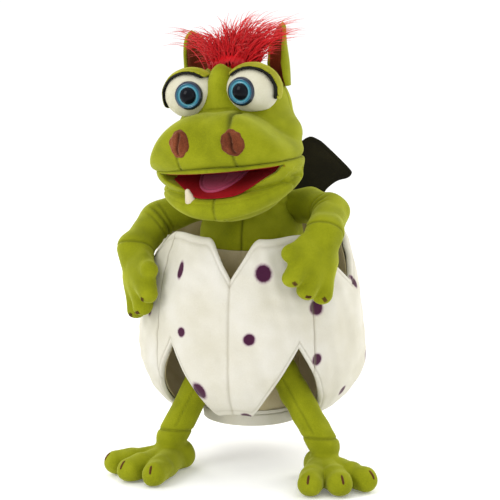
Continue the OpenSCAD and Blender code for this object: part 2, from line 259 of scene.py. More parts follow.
def slab(grid, thick, closed=False):
    """A padded sheet about a grid of points (rows, cols, 3), with its two faces thick apart."""
    rows, cols = grid.shape[:2]
    du = np.roll(grid, -1, 1) - np.roll(grid, 1, 1) if closed else np.gradient(grid, axis=1)
    dv = np.gradient(grid, axis=0)
    nrm = np.cross(du, dv)
    nrm /= np.maximum(norm(nrm), 1e-9)[..., None]
    t = np.broadcast_to(np.asarray(thick, float), (rows, cols)) / 2
    top, bottom = grid + nrm * t[..., None], grid - nrm * t[..., None]
    verts = np.concatenate([top.reshape(-1, 3), bottom.reshape(-1, 3)])
    k = rows * cols
    one = quads_of(rows, cols, False, closed)
    faces = [one, one[:, [0, 3, 2, 1]] + k]

    def wall(line):
        line = np.array(line)
        p, q = line[:-1], line[1:]
        faces.append(np.stack([p, p + k, q + k, q], 1))

    first, last = np.arange(cols), (rows - 1) * cols + np.arange(cols)
    if closed:
        first, last = np.append(first, 0), np.append(last, last[0])
    wall(first)
    wall(last[::-1])
    if not closed:
        wall(np.arange(rows)[::-1] * cols)
        wall(np.arange(rows) * cols + cols - 1)
    return verts, np.concatenate(faces)


# ---------------------------------------------------------------- materials


def colour(r, g, b):
    """Linear colour from the usual 0 to 255 values."""

    def lin(c):
        c /= 255
        return 0.74 * (c / 12.92 if c <= 0.04045 else ((c + 0.055) / 1.055) ** 2.4)

    return (lin(r), lin(g), lin(b), 1)


class Nodes:
    def __init__(self, name):
        self.mat = bpy.data.materials.new(name)
        self.mat.use_nodes = True
        self.tree = self.mat.node_tree
        self.shader = self.tree.nodes["Principled BSDF"]

    def add(self, kind, **values):
        node = self.tree.nodes.new(kind)
        for key, value in values.items():
            if hasattr(node, key):
                setattr(node, key, value)
        return node

    def link(self, a, b):
        self.tree.links.new(a, b)

    def value(self, key):
        n = self.add("ShaderNodeAttribute")
        n.attribute_name = key
        return n

    def noise(self, scale, detail=3, rough=0.5, stretch=None):
        n = self.add("ShaderNodeTexNoise")
        n.inputs["Scale"].default_value = scale
        n.inputs["Detail"].default_value = detail
        n.inputs["Roughness"].default_value = rough
        source = self.value("rest").outputs["Vector"]
        if stretch:
            m = self.add("ShaderNodeMapping")
            m.inputs["Scale"].default_value = stretch
            self.link(source, m.inputs["Vector"])
            source = m.outputs["Vector"]
        self.link(source, n.inputs["Vector"])
        return n.outputs["Fac"]

    def ramp(self, source, stops):
        n = self.add("ShaderNodeValToRGB")
        while len(n.color_ramp.elements) < len(stops):
            n.color_ramp.elements.new(0.5)
        for element, (at, c) in zip(n.color_ramp.elements, stops):
            element.position = at
            element.color = c
        self.link(source, n.inputs["Fac"])
        return n.outputs["Color"]

    def mix(self, fac, a, b, mode="MIX"):
        n = self.add("ShaderNodeMix")
        n.data_type = "RGBA"
        n.blend_type = mode
        for socket, v in ((n.inputs["Factor"], fac), (n.inputs["A"], a), (n.inputs["B"], b)):
            if isinstance(v, (float, int, tuple)):
                socket.default_value = v
            else:
                self.link(v, socket)
        return n.outputs["Result"]

    def math(self, op, a, b=0.0, c=0.0):
        n = self.add("ShaderNodeMath", operation=op)
        for socket, v in zip(n.inputs, (a, b, c)):
            if isinstance(v, (float, int)):
                socket.default_value = v
            else:
                self.link(v, socket)
        return n.outputs[0]

    def bump(self, height, distance, strength=1.0, under=None):
        n = self.add("ShaderNodeBump")
        n.inputs["Strength"].default_value = strength
        n.inputs["Distance"].default_value = distance
        self.link(height, n.inputs["Height"])
        if under:
            self.link(under, n.inputs["Normal"])
        return n.outputs["Normal"]

    def set(self, **values):
        for key, value in values.items():
            self.shader.inputs[key.replace("_", " ")].default_value = value
        return self


def pile(name, base, dark, light, sheen, tint, sheen_rough=0.45, nap=1.0, rough=0.88, weave=0.0):
    """Cloth with a short pile: fine mottling, soft patches, painted shade in the creases, a nap in the bump
    and a sheen.
    """
    base, dark, light, tint = (colour(*c) for c in (base, dark, light, tint))
    m = Nodes(name)
    fine = m.noise(1500, 2, 0.6)
    patch = m.noise(38, 2, 0.5)
    c = m.ramp(m.math("ADD", m.math("MULTIPLY", fine, 0.45), m.math("MULTIPLY", patch, 0.55)),
            [(0.36, dark), (0.52, base), (0.68, light)])
    # Painted shade: the crease mark darkens the colour in seams, tucks and folds.
    crease_shade = m.value("crease_shade").outputs["Fac"]
    c = m.mix(m.math("MULTIPLY", crease_shade, 0.8), c, (*(v * 0.32 for v in dark[:3]), 1))
    m.link(c, m.shader.inputs["Base Color"])
    height = m.math("ADD", m.math("MULTIPLY", m.noise(2600, 2, 0.7), 0.6),
            m.math("MULTIPLY", m.noise(700, 2), 0.5))
    if weave:
        w = m.add("ShaderNodeTexWave")
        w.inputs["Scale"].default_value = 420
        w.inputs["Distortion"].default_value = 1.2
        m.link(m.value("rest").outputs["Vector"], w.inputs["Vector"])
        height = m.math("ADD", height, m.math("MULTIPLY", w.outputs["Fac"], weave))
    soft = m.bump(m.noise(70, 2), 0.0012, 0.35 * nap)
    m.link(m.bump(height, 0.0004, 0.55 * nap, soft), m.shader.inputs["Normal"])
    m.link(m.math("ADD", m.math("MULTIPLY", fine, 0.14), rough - 0.07), m.shader.inputs["Roughness"])
    m.set(Sheen_Weight=sheen, Sheen_Roughness=sheen_rough, Sheen_Tint=tint, Specular_IOR_Level=0.18)
    return m.mat


GREEN = pile("green_velour", (150, 156, 12), (128, 134, 2), (168, 172, 30), 0.55,
        (232, 236, 120), 0.35)
# Painted light: a lighter, yellower copy of the green velour for the upturned lids, where light falls on
# them.
LID_LIT = pile("lid_velour_lit", (170, 170, 32), (146, 148, 16), (190, 188, 52), 0.6,
        (240, 236, 130), 0.35)
BROWN = pile("brown_minky", (132, 66, 36), (88, 38, 16), (176, 104, 70), 0.5,
        (250, 190, 150), 0.4, 1.6)
LINING = pile("ear_lining", (128, 52, 26), (96, 34, 14), (156, 74, 38), 0.4,
        (240, 170, 120), 0.4)
EYE_CLOTH = pile("eye_cloth", (226, 222, 196), (214, 208, 178), (236, 233, 214), 0.25,
        (255, 250, 235), 0.5, 0.6, 0.8)
LASH = pile("lash_felt", (20, 18, 14), (10, 9, 8), (34, 31, 24), 0.15, (120, 118, 100))
WING = pile("wing_felt", (34, 31, 17), (24, 22, 12), (48, 44, 26), 0.16,
        (150, 145, 110), 0.5, 1.3, 0.95)
PINK = pile("tongue_felt", (200, 80, 116), (184, 62, 98), (218, 104, 138), 0.3,
        (255, 190, 210), 0.5, 1.2)
MOUTH = pile("mouth_fabric", (160, 4, 18), (132, 0, 12), (186, 12, 28), 0.25,
        (255, 90, 90), 0.5, 0.8)
TOOTH = pile("tooth_felt", (228, 214, 184), (212, 194, 160), (240, 230, 206), 0.2,
        (255, 245, 225), 0.5)
BEIGE = pile("egg_cotton", (214, 200, 160), (198, 182, 138), (226, 214, 180), 0.2,
        (255, 245, 220), 0.5, 0.7, 0.9, 0.5)
THREAD = pile("claw_thread", (92, 52, 14), (60, 32, 8), (120, 74, 26), 0.3,
        (220, 170, 110), 0.4, 1.5, 0.7)


def egg_cloth():
    """Cream plush with sprayed purple spots that fade at their edges."""
    m = Nodes("egg_plush")
    fine = m.noise(1300, 2, 0.6)
    patch = m.noise(26, 2, 0.5)
    c = m.ramp(m.math("ADD", m.math("MULTIPLY", fine, 0.35), m.math("MULTIPLY", patch, 0.65)),
            [(0.34, colour(222, 217, 198)), (0.52, colour(232, 228, 213)), (0.7, colour(240, 237, 227))])
    spot = m.value("spot").outputs["Fac"]
    edge = m.math("ADD", spot, m.math("MULTIPLY", m.math("SUBTRACT", m.noise(600, 3, 0.6), 0.5), 0.28))
    dye = m.ramp(edge, [(0.0, (0, 0, 0, 1)), (0.22, (0, 0, 0, 1)), (0.42, (0.3, 0.3, 0.3, 1)),
            (0.7, (1, 1, 1, 1))])
    c = m.mix(dye, c, m.ramp(edge, [(0.3, colour(168, 116, 152)), (0.75, colour(72, 18, 56))]))
    # Painted shade in the quilt seams and along the hem lines: the crease mark mixes in a darker beige.
    crease_shade = m.value("crease_shade").outputs["Fac"]
    c = m.mix(m.math("MULTIPLY", crease_shade, 0.6), c, colour(168, 160, 136))
    m.link(c, m.shader.inputs["Base Color"])
    height = m.math("ADD", m.math("MULTIPLY", m.noise(2400, 2, 0.7), 0.6),
            m.math("MULTIPLY", m.noise(600, 2), 0.5))
    soft = m.bump(m.noise(55, 2), 0.0014, 0.35)
    m.link(m.bump(height, 0.0004, 0.45, soft), m.shader.inputs["Normal"])
    m.link(m.math("ADD", m.math("MULTIPLY", fine, 0.12), 0.84), m.shader.inputs["Roughness"])
    m.set(Sheen_Weight=0.3, Sheen_Roughness=0.5, Sheen_Tint=colour(255, 252, 242), Specular_IOR_Level=0.18)
    return m.mat


def eye_plastic(name, stops, rough=0.12, coat=0.35, gloss=0.35):
    """Moulded plastic whose colour changes with the distance from the centre."""
    m = Nodes(name)
    c = m.ramp(m.value("radius").outputs["Fac"], stops)
    grain = m.noise(900, 2)
    m.link(m.mix(m.math("MULTIPLY", grain, 0.16), c, (1, 1, 1, 1), "SOFT_LIGHT"),
           m.shader.inputs["Base Color"])
    m.link(m.math("ADD", m.math("MULTIPLY", grain, 0.05), rough), m.shader.inputs["Roughness"])
    m.link(m.bump(m.noise(160, 1), 0.0002, 0.12), m.shader.inputs["Normal"])
    m.set(Coat_Weight=coat, Coat_Roughness=0.03, Specular_IOR_Level=gloss)
    return m.mat


IRIS = eye_plastic("iris_plastic", [(0.55, colour(16, 42, 66)), (0.64, colour(78, 164, 184)),
        (0.74, colour(36, 124, 150)),
        (0.83, colour(24, 86, 112)), (0.88, colour(10, 34, 60)), (1.0,
        colour(8, 26,
        48))])
PUPIL = eye_plastic("pupil_plastic", [(0.0, (0.002, 0.002, 0.003, 1)), (1.0, (0.004, 0.006, 0.01, 1))],
        0.06, 0.05, 0.07)
EGG = egg_cloth()


def hair_cloth():
    m = Nodes("hair_fibre")
    # The red turns pale pink towards the strand tips: painted light shining through the thin ends.
    tone = m.math("ADD", m.value("tone").outputs["Fac"], m.math("MULTIPLY", m.noise(220, 2), 0.2))
    c = m.ramp(tone, [(0.05, colour(160, 0, 10)), (0.45, colour(236, 8, 24)), (0.8, colour(248, 40, 48)),
            (1.0, colour(252, 110, 108))])
    m.link(c, m.shader.inputs["Base Color"])
    m.link(m.math("ADD", m.math("MULTIPLY", m.noise(1200, 2), 0.2), 0.38), m.shader.inputs["Roughness"])
    m.link(m.bump(m.noise(3000, 1), 0.0001, 0.4), m.shader.inputs["Normal"])
    m.set(Sheen_Weight=0.15, Sheen_Roughness=0.3, Sheen_Tint=colour(255, 120, 120),
          Specular_IOR_Level=0.25)
    return m.mat


HAIR = hair_cloth()

# ---------------------------------------------------------------- the head's frame

HINGE = vec(-5, -40, 240)
YAW, ROLL, JAW_REST = math.radians(-8), math.radians(-6), math.radians(18)
HEAD_TURN = np.array((Matrix.Rotation(YAW, 3, "Z") @ Matrix.Rotation(ROLL, 3, "Y")))
JAW_TURN = np.array(Matrix.Rotation(JAW_REST, 3, "X"))
IN_HEAD = (HEAD_TURN, HINGE)
IN_JAW = (HEAD_TURN @ JAW_TURN, HINGE)


def head_point(p):
    return HEAD_TURN @ np.array(p, float) + HINGE


def metres(p):
    return tuple(float(v) * MM for v in p)


def lip_side(x):
    """Distance from the mouth's middle; its right half is a little shorter, so it counts for more."""
    return np.where(x < 0, -x * 1.2, x)


def corner_line(x):
    """How far back the mouth reaches at each x."""
    side = lip_side(x)
    return -4 - 14 * smooth((side - 28) / 22) - 40 * smooth((side - 44) / 26)


def mouth_gap(x, y):
    side = lip_side(x)
    reach = 11 + 9 * smooth((side - 30) / 24)
    smile = 1 - 0.78 * smooth((side - 16) / 48)
    return (2.4 - y * math.tan(JAW_REST)) * smile * smooth((corner_line(x) - y) / reach)


def muzzle(p):
    x, y, z = p.T
    plan = oval(x + 2.5, y + 20, 74.0, 59.5)
    mid = 26
    rim = np.where(z > mid, 28.0, 19.0)
    d = rounded(plan, np.where(z > mid, (z - mid) - 28, (mid - z) - 25), rim)
    # Shoulders of the muzzle slope down from the eyes.
    d = smax(d, (z - 57 + 0.0085 * (np.abs(x) + 6) ** 2) * 0.85, 9)
    front = smooth((-y - 20) / 25)
    d += front * 2.4 * groove(x, 10) * smooth((z - 14) / 20)
    for side in (-1, 1):
        lobe = np.exp(-(((x - side * 30) / 22) ** 2) - (((z - 30) / 18) ** 2))
        d -= 2.0 * lobe * front
    return d


UPPER_FOLDS = (((-27, -1), (-9, -15), 1.0), ((-25, 1), (-6, 3), 0.7), ((-28, -5), (-16, -20), 0.7))
LOWER_FOLDS = (((-34, -8), (-14, -12), 1.0), ((-30, -3), (-10, -5), 0.7), ((-36, -13), (-22, -22), 0.6))


def cheek_folds(p, lines, width, inset):
    """Pinched folds on the outside of the cheeks. A line is two (y, z) points and a depth."""
    x, y, z = p.T
    flat = np.stack([y, z, np.zeros_like(y)], 1)
    out = sum(k * groove(cone(flat, (*a, 0), (*b, 0), 0, 0), width) for a, b, k in lines)
    return out * smooth((np.abs(x) - inset) / 8)


def head_seams(p):
    """Depth of the grooves of the head's seams and tucks, and how much painted shade goes into them."""
    x, y, z = p.T
    front = smooth((-y - 24) / 12)
    tuck = groove(x - 21 - 2.0 * np.sin(z / 5), 1.5) * smooth((z - 34) / 6) * smooth((57 - z) / 6) * front
    notch = np.exp(-(((x - 22) / 4.0) ** 2) - (((z - 43) / 6.0) ** 2)) * front
    lips = sum(groove(x - s * 25.5, 1.0) * smooth((20 - z) / 3)
            * smooth((z - 0.5) / 1) for s in (-1, 1)) * front
    brow = groove(z - 52.5 + 0.004 * x * x, 1.2) * smooth((60 - np.abs(x)) / 10) * smooth((-y - 26) / 6)
    crown = groove(x, 1.0) * smooth((y - 24) / 8) * smooth((z - 10) / 8)
    sides = groove(y - 16, 1.1) * smooth((np.abs(x) - 30) / 8) * smooth((z - 4) / 6) * smooth((92 - z) / 8)
    folds = cheek_folds(p, UPPER_FOLDS, 1.5, 44)
    depth = 1.2 * tuck + 2.6 * notch + 1.0 * lips + 0.8 * brow + 0.9 * crown + 0.9 * sides + 1.7 * folds
    dark = 0.9 * tuck + 0.35 * notch + 0.9 * lips + 0.35 * brow + 0.6 * crown + 0.6 * sides + 0.7 * folds
    return depth, np.clip(dark, 0, 1)


def jaw_local(p):
    return p @ JAW_TURN


JAW_BACK = math.radians(36)


def jaw_form(p):
    q = jaw_local(p)
    x, y, z = q.T
    taper = 0.05 * np.maximum(-z - 3, 0) ** 2 * np.clip(np.abs(x) / 60, 0, 1) ** 1.5
    plan = oval(x, y + 16, 66, 60) + taper
    rim = np.where(z > -12, 10.5, 9.0)
    band = rounded(plan, np.abs(z + 12) - 10.8, rim)
    chin = ellipsoid(q, (0, -15, -8), (53, 50, 33))
    d = smin(band, chin, 1.5)
    d = smax(d, z + 1.2, 2.0)
    lean = y * math.cos(JAW_BACK) - z * math.sin(JAW_BACK)
    d = smax(d, lean, 6.0)
    d += 0.9 * groove(x, 0.9) * smooth((-y - 40) / 8)
    d += 0.6 * groove(z + 4.2, 0.8) * smooth((-y - 20) / 8)
    d += 1.5 * groove(z + 21.5, 1.5) * smooth((-y - 10) / 8)
    return d


# Painted shade in the jaw's centre seam and in the crease under the chin.
def jaw_seam_shade(p):
    q = jaw_local(p)
    x, y, z = q.T
    seam = groove(x, 0.9) * smooth((-y - 40) / 8)
    under = groove(z + 21.5, 1.6) * smooth((-y - 10) / 8)
    return 0.7 * seam + 0.75 * under


LIP_UP = 12.0


def mouth_void(p):
    x, y, z = p.T
    back = corner_line(x)
    low_face = 1.2 - mouth_gap(x, y)
    slot_ = np.maximum(np.maximum(z - 1.2, low_face - z), y - back)
    plan = oval(x, y + 20, 72 - LIP_UP, 60 - LIP_UP)
    up = np.maximum(np.maximum(np.maximum(z - 7, 0.5 - z), plan), y - back + 6)
    return np.minimum(slot_, up)


def cheek_web(p):
    """The cloth that joins the lips outside the mouth's corners."""
    x, y, z = p.T
    q = jaw_local(p)
    taper = 0.045 * np.maximum(2 - z, 0) ** 2
    plan = smax(oval(x, y + 18, 69.5, 60) + 2.2 + taper, y - 6, 4)
    slot_ = smax(z - 4.5, -(q[:, 2] + 6), 1)
    return smax(plan, slot_, 3)


def head_field(p):
    x, y, z = p.T
    skull = ellipsoid(p, (0, 14, 46), (49.5, 49.5, 46.5))
    cheek = ellipsoid(p, (0, 4, 25), (61.5, 45.5, 32.5))
    d = smin(skull, cheek, 8)
    collar = np.maximum(oval(x, y - 40, 36, 36), np.abs(z - 6) - 10)
    d = smin(d, collar, 6)
    d = smin(d, muzzle(p), 3.0)
    d = smin(d, ellipsoid(p, (0, -18, 60), (13.5, 17, 32)), 5.0)
    throat = smax(ellipsoid(p, (0, 16, -4), (50, 27, 24)), -27 - z, 4)
    d = smin(d, throat, 5.0)
    d = d + head_seams(p)[0]
    d = d + 0.35 * waves(p, 34, 3)
    return smax(d, -mouth_void(p), 1.6)


def jaw_field(p):
    d = smin(jaw_form(p), cheek_web(p), 4.0)
    d = d + 1.5 * cheek_folds(p, LOWER_FOLDS, 1.6, 42) + 0.35 * waves(p, 30, 4)
    return smax(d, -mouth_void(p), 2.4)


FOLD_AT = vec(0, 0, 1.4)
FOLD_DIR = vec(0, 0, -1)
FOLD_LENGTH = 13.0


def fold_span():
    """Where the jaw's cloth turns from the head to the jaw."""
    at = head_point(FOLD_AT)
    return "head", "jaw", at, at + HEAD_TURN @ FOLD_DIR * FOLD_LENGTH


def build_head():
    head = skin("head_skin", head_field, (-80, -92, -36), (80, 86, 98), 1.7, GREEN,
            lambda p: head_seams(p)[1], IN_HEAD)
    finish_piece(head, "head",
            ("head_back", "muzzle", "finger_pocket", "upper_mouth_plate"))
    jaw = skin("jaw_skin", jaw_field, (-80, -92, -58), (80, 30, 12), 1.6, GREEN,
            lambda p: np.clip(jaw_seam_shade(p), 0, 1), IN_HEAD)
    finish_piece(jaw, fold_span(), ("lower_jaw", "thumb_pocket", "lower_mouth_plate"))


def swap(parts, mat):
    verts, faces, normals, marks = parts
    return verts, faces, mat, normals, marks


def finish_piece(ob, body, nodes=()):
    if nodes:
        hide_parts(*nodes)
    if isinstance(body, str):
        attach(ob, body)
    else:
        metres(body[2])
        metres(body[3])
        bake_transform(ob)
    return ob


# ---------------------------------------------------------------- mouth


def mouth_linings():
    n_u, n_v = 61, 41
    u = np.sin(np.linspace(-1, 1, n_u) * math.pi / 2)
    v = np.linspace(0, 1, n_v)
    for name, rx, cy, ry, upper in (("palate_upper", 62.0, -20, 50.0, True),
            ("palate_lower", 56.5, -12.5, 52.0, False)):
        x = u * (rx - 1.5) * np.where(u < 0, 0.77, 1)
        front = cy - ry * np.sqrt(np.maximum(0, 1 - (x / rx) ** 2))
        back = corner_line(x) + 1.0
        front = np.minimum(front, back - 0.5)
        X = np.broadcast_to(x, (n_v, n_u))
        Y = front + (back - front) * v[:, None]
        if upper:
            Z = np.full_like(X, 0.75)
            Z = Z + 0.25 * waves(np.stack([X, Y, Z], -1).reshape(-1, 3), 24,
                    5).reshape(Z.shape) * smooth(v * 6)[:, None]
        else:
            Z = 1.2 - mouth_gap(X, Y) + 0.55
        grid = np.stack([X, Y, Z], -1)
        verts, faces = slab(grid, 0.7)
        body = "head" if upper else fold_span()
        ob = solid(name, verts, faces, MOUTH, None, None, IN_HEAD)
        finish_piece(ob, body, ("upper_palate",) if upper else ("lower_palate",))


def tongue():
    def f(p):
        x, y, z = p.T
        edge = oval(x + 6, y + 8, 22.5, 49)
        edge = smax(edge, y + 12, 3)
        dome = np.abs(z - 0.25 - 0.0006 * x * x) - 1.5 - 0.9 * smooth(-edge / 12)
        stitch = 0.75 * groove(edge + 3.0, 0.8)
        return smax(edge, dome, 1.6) + stitch + 0.3 * groove(x,
                1.4) * smooth((-y - 14) / 6) * smooth((y
                + 44) / 8)

    # Painted shade along the tongue's stitched edge.
    ob = skin("tongue_pad", f, (-30, -60, -4), (30, -8, 6), 1.0, PINK,
            lambda p: 0.25 * groove(oval(p[:, 0] + 6, p[:, 1] + 8, 22.5, 49) + 3.0, 0.9), IN_JAW)
    finish_piece(ob, "tongue", ("tongue",))


def tooth():
    def f(p):
        q = p * vec(1, 1.25, 1) + vec(0, 16, 0)
        d = cone(q, (-24, -63.8, -4), (-24.8, -63.8, 5.6), 5.2, 2.3)
        return d + 0.1 * waves(p, 7, 9)

    ob = skin("tooth_felt_cone", f, (-32, -72, -12), (-16, -56, 8), 0.7, TOOTH, None, IN_JAW)
    finish_piece(ob, "jaw", ("tooth",))


# ---------------------------------------------------------------- eyes

EYE_C, EYE_R = vec(29, -20, 67), vec(24, 20, 21)


def eye_dome(p, grow):
    return ellipsoid(p, EYE_C, EYE_R + grow)


def lid_opening(p):
    """Distance outside the oval that the lid leaves open, seen from the front."""
    x, y, z = (p - EYE_C).T
    return oval(x - 0.4, z + 1.0, 24.0, 21.0)


def lid_low(p):
    x, y, z = (p - EYE_C).T
    return -(z + 0.62 * x - 2.6)


def eyes():
    for side, label in ((1, "left"), (-1, "right")):
        ball = skin(
            "eye_dome_" + label,
            lambda p: smax(smax(eye_dome(p, 0), p[:, 1] + 8, 2) + 0.12 * waves(p, 9, 11), 48 - p[:, 2], 2),
            (2, -44, 42), (58, 0, 92), 1.2, EYE_CLOTH, None, IN_HEAD, None, side)
        finish_piece(ball, "head", ("eyeball_" + label, "eye_washer_" + label))

        def lid(p):
            shell = smax(eye_dome(p, 3.1), -eye_dome(p, 0.4), 0.6)
            d = smax(shell, 0.7 - lid_opening(p), 1.2)
            d = smax(d, lid_low(p), 2.5)
            d = smax(d, p[:, 1] + 9, 2)
            return d + 0.5 * groove(lid_opening(p) - 2.6, 0.7) + 0.12 * waves(p, 8, 13)

        # Painted shade in the stitched groove round the lid's opening.
        ob = skin("eyelid_hood_" + label, lid, (-4, -50, 52), (64, 2, 98), 1.1, LID_LIT,
                lambda p: 0.3 * groove(lid_opening(p) - 2.6, 0.8), IN_HEAD, None, side)
        finish_piece(ob, "head", ("eyelid_" + label,))

        def lash(p):
            shell = smax(eye_dome(p, 2.4), -eye_dome(p, 0.15), 0.4)
            d = smax(shell, np.abs(lid_opening(p) + 0.2) - 1.05, 0.6)
            return smax(d, lid_low(p) + 1.5, 1.5)

        ob = skin("lash_line_" + label, lash, (0, -48, 54), (62, 2, 96), 0.9, LASH, None, IN_HEAD, None,
                side)
        finish_piece(ob, "head", ("lash_" + label,))

        turn = np.array(Matrix.Rotation(math.radians(side * -4), 3, "Z") @ Matrix.Rotation(math.radians(90),
                3, "X"))
        place = (HEAD_TURN @ turn, HEAD_TURN @ vec(side * 26, -20, 67) + HINGE)
        ring = [(12.6, 14.0), (12.7, 17.6), (12.4, 18.8), (11.3, 19.8), (10.5, 20.3), (9.9, 20.2),
                (9.4, 19.7),
                (8.6, 19.5), (7.9, 19.7), (7.4, 20.0), (7.0, 19.6), (6.8, 18.0)]
        ob = lathe("iris_disc_" + label, ring, IRIS, place, 12.7)
        finish_piece(ob, "head", ("iris_" + label,))
        dome = [(7.5, 17.0), (7.5, 19.7), (7.2, 20.6), (6.6, 21.6), (5.5, 22.6), (4.0, 23.3), (2.1, 23.8),
                (0.0, 23.9)]
        ob = lathe("pupil_dome_" + label, dome, PUPIL, place, 7.5)
        finish_piece(ob, "head", ("pupil_" + label,))


def lathe(name, profile, mat, place, reach, steps=64):
    profile = np.array(profile, float)
    fine = []
    for i in range(len(profile) - 1):
        fine += [profile[i] + (profile[i + 1] - profile[i]) * t for t in (0, 0.5)]
    fine.append(profile[-1])
    r, h = np.array(fine).T
    capped = r[-1] == 0
    if capped:
        r, h = r[:-1], h[:-1]
    a = np.linspace(0, 2 * math.pi, steps, endpoint=False)
    verts = np.stack([np.outer(r, np.cos(a)), np.outer(r, np.sin(a)), np.outer(h, np.ones(steps))],
            -1).reshape(-1, 3)
    faces = quads_of(len(r), steps, False, True).tolist()
    rad = np.repeat(r, steps) / reach
    ends = [(0, h[0], 1)] + [((len(r) - 1) * steps, profile[-1][1], 0)]
    for start, z, low in ends:
        verts = np.vstack([verts, [0, 0, z]])
        c = len(verts) - 1
        rad = np.append(rad, 0 if capped or low else 0.4)
        for j in range(steps):
            k = (j + 1) % steps
            faces.append((start + k, start + j, c) if low else (start + j, start + k, c))
    return solid(name, verts, faces, mat, None, {"radius": rad, "crease_shade": np.zeros(len(verts))}, place)


# ---------------------------------------------------------------- nostrils

NOSTRIL = vec(24, -66, 29)
NOSTRIL_R = (9.6, 12.0)


def nostrils():
    for side, label, tilt in ((1, "left", -0.32), (-1, "right", 0.06)):
        def flat(p):
            u = p[:, 0] - side * NOSTRIL[0] - 2.5
            w = p[:, 2] - NOSTRIL[2] + (3.0 if side > 0 else 0.5)
            return u * math.cos(tilt) - w * math.sin(tilt), u * math.sin(tilt) + w * math.cos(tilt)

        def fold(p):
            u, w = flat(p)
            return u - 1.3 * np.sin(w / 3.4) * (1 if side > 0 else 0.7)

        def f(p):
            u, w = flat(p)
            plan = oval(u, w, *NOSTRIL_R)
            pad = muzzle(p) - 1.3 - 1.5 * smooth(-plan / 6)
            d = smax(pad, plan, 2.4)
            d = smax(d, -(muzzle(p) + 4), 1)
            deep = 2.0 if side > 0 else 1.6
            d = d + deep * groove(fold(p), 1.3) * smooth((11 - np.abs(w)) / 3)
            return d + 0.35 * waves(p, 6, 17 + side)

        # Painted shade in the nostril's fold and round the patch's edge.
        def dark(p):
            u, w = flat(p)
            rim = groove(oval(u, w, *NOSTRIL_R) + 0.4, 1.0)
            return np.clip(0.9 * groove(fold(p), 1.2) * smooth((11 - np.abs(w)) / 3) + 0.35 * rim, 0, 1)

        c = side * NOSTRIL[0]
        ob = skin("nostril_patch_" + label, f, (c - 14, -90, 12), (c + 14, -56, 46), 0.8, BROWN, dark,
                IN_HEAD)
        finish_piece(ob, "head", ("nostril_" + label,))


# ---------------------------------------------------------------- hair and ears


def skull_z(x, y):
    return 46 + 46.5 * np.sqrt(np.maximum(0, 1 - (x / 49.5) ** 2 - ((y - 14) / 49.5) ** 2))


STRANDS = 950


def hair():
    locks = [((-44, -6, 131), 0.7), ((-32, -4, 124), 0.9), ((-22, -8, 128), 1.2), ((-12, -10, 127), 1.2),
            ((0, -9, 128), 1.3),
            ((8, -12, 134), 1.6), ((20, -8, 132), 1.6), ((32, -12, 136), 1.7), ((46, -8, 134), 1.7),
            ((58, -9, 131), 1.5), ((66, -5, 128), 1.3), ((76, -8, 130), 0.9), ((52, -2, 120),
            1.0), ((36, 4, 122), 1.0),
            ((-4, 6, 120), 0.8), ((16, 8, 124), 0.9), ((26, -14, 124), 1.0), ((-16, -12, 114), 0.9)]
    weights = np.array([w for _, w in locks])
    verts, faces, tones = [], [], []
    segs, sides = 9, 3
    for n in range(STRANDS):
        short = n % 2 == 0
        lock = rng.choice(len(locks), p=weights / weights.sum())
        tip = np.array(locks[lock][0], float) + rng.normal(size=3) * vec(5.2, 3.0, 4.0) - vec(1, 0, 6.5)
        share = (tip[0] + 30) / 96
        a, b = rng.uniform(0, 2 * math.pi), math.sqrt(rng.uniform())
        root = vec(3 + 15 * b * math.cos(a) * 0.6 + (share - 0.4) * 24, 1 + 10 * b * math.sin(a), 0)
        root[2] = skull_z(root[0], root[1]) - 1.5
        if short:
            tip = root + (tip - root) * rng.uniform(0.35, 0.85)
        mid = root + vec((tip[0] - root[0]) * 0.24, (tip[1] - root[1]) * 0.3 - 1, (tip[2] - root[2]) * 0.9)
        mid += rng.normal(size=3) * 1.6
        droop = vec(0, 0, -rng.uniform(0, 12) * (0.2 + abs(share - 0.4)))
        t = np.linspace(0, 1, segs)[:, None]
        line = (1 - t) ** 2 * root + 2 * t * (1 - t) * mid + t**2 * (tip + droop)
        line += np.sin(t * rng.uniform(3, 7) + rng.uniform(0, 6)) * rng.normal(size=3) * 0.7 * t
        width = (0.40 if short else 0.32) * (1 - t[:, 0] ** 1.6) + 0.04
        along = np.gradient(line, axis=0)
        along /= norm(along)[:, None]
        across = np.cross(along, vec(0.2, 1, 0.1))
        across /= norm(across)[:, None]
        up = np.cross(across, along)
        ring = []
        for s in range(sides):
            ang = 2 * math.pi * s / sides
            ring.append(line + width[:, None] * (across * math.cos(ang) * 1.6 + up * math.sin(ang) * 0.7))
        verts.append(np.stack(ring, 1).reshape(-1, 3))
        # Tone grows from root to tip; the pale tips it gives are painted light through the thin ends.
        tones.append(np.repeat(0.15 + 0.65 * t[:, 0] + rng.uniform(-0.12, 0.18), sides))
        faces.append(quads_of(segs, sides, False, True) + n * segs * sides)
    v = np.concatenate(verts)
    ob = solid("hair_strands", v, np.concatenate(faces), HAIR, None, {"tone": np.concatenate(tones)},
               IN_HEAD)
    finish_piece(ob, "head", ("hair_tuft",))

    def pad(p):
        d = ellipsoid(p, (5, 0, 90), (21, 12, 10))
        return d + 0.9 * np.sin(p[:, 0] * 1.5 + 2 * waves(p, 14, 21)) * 0.6

    ob = skin("hair_root", pad, (-20, -12, 78), (28, 18, 102), 1.1, HAIR, None, IN_HEAD,
            {"tone": lambda p: 0.05 + 0.25 * smooth((p[:, 2] - 90) / 8)})
    finish_piece(ob, "head", ())


EAR_AT, EAR_R = vec(34, 22, 70), 14.0
EAR_ROWS, EAR_COLS = 46, 27
EAR_FACING = math.radians(-44)
LEAF_Z = [-4, 5, 17, 32, 42, 48, 51.5, 52.5]
LEAF_W = [12.5, 14.6, 15.4, 12.6, 8.4, 5.0, 2.0, 0.6]


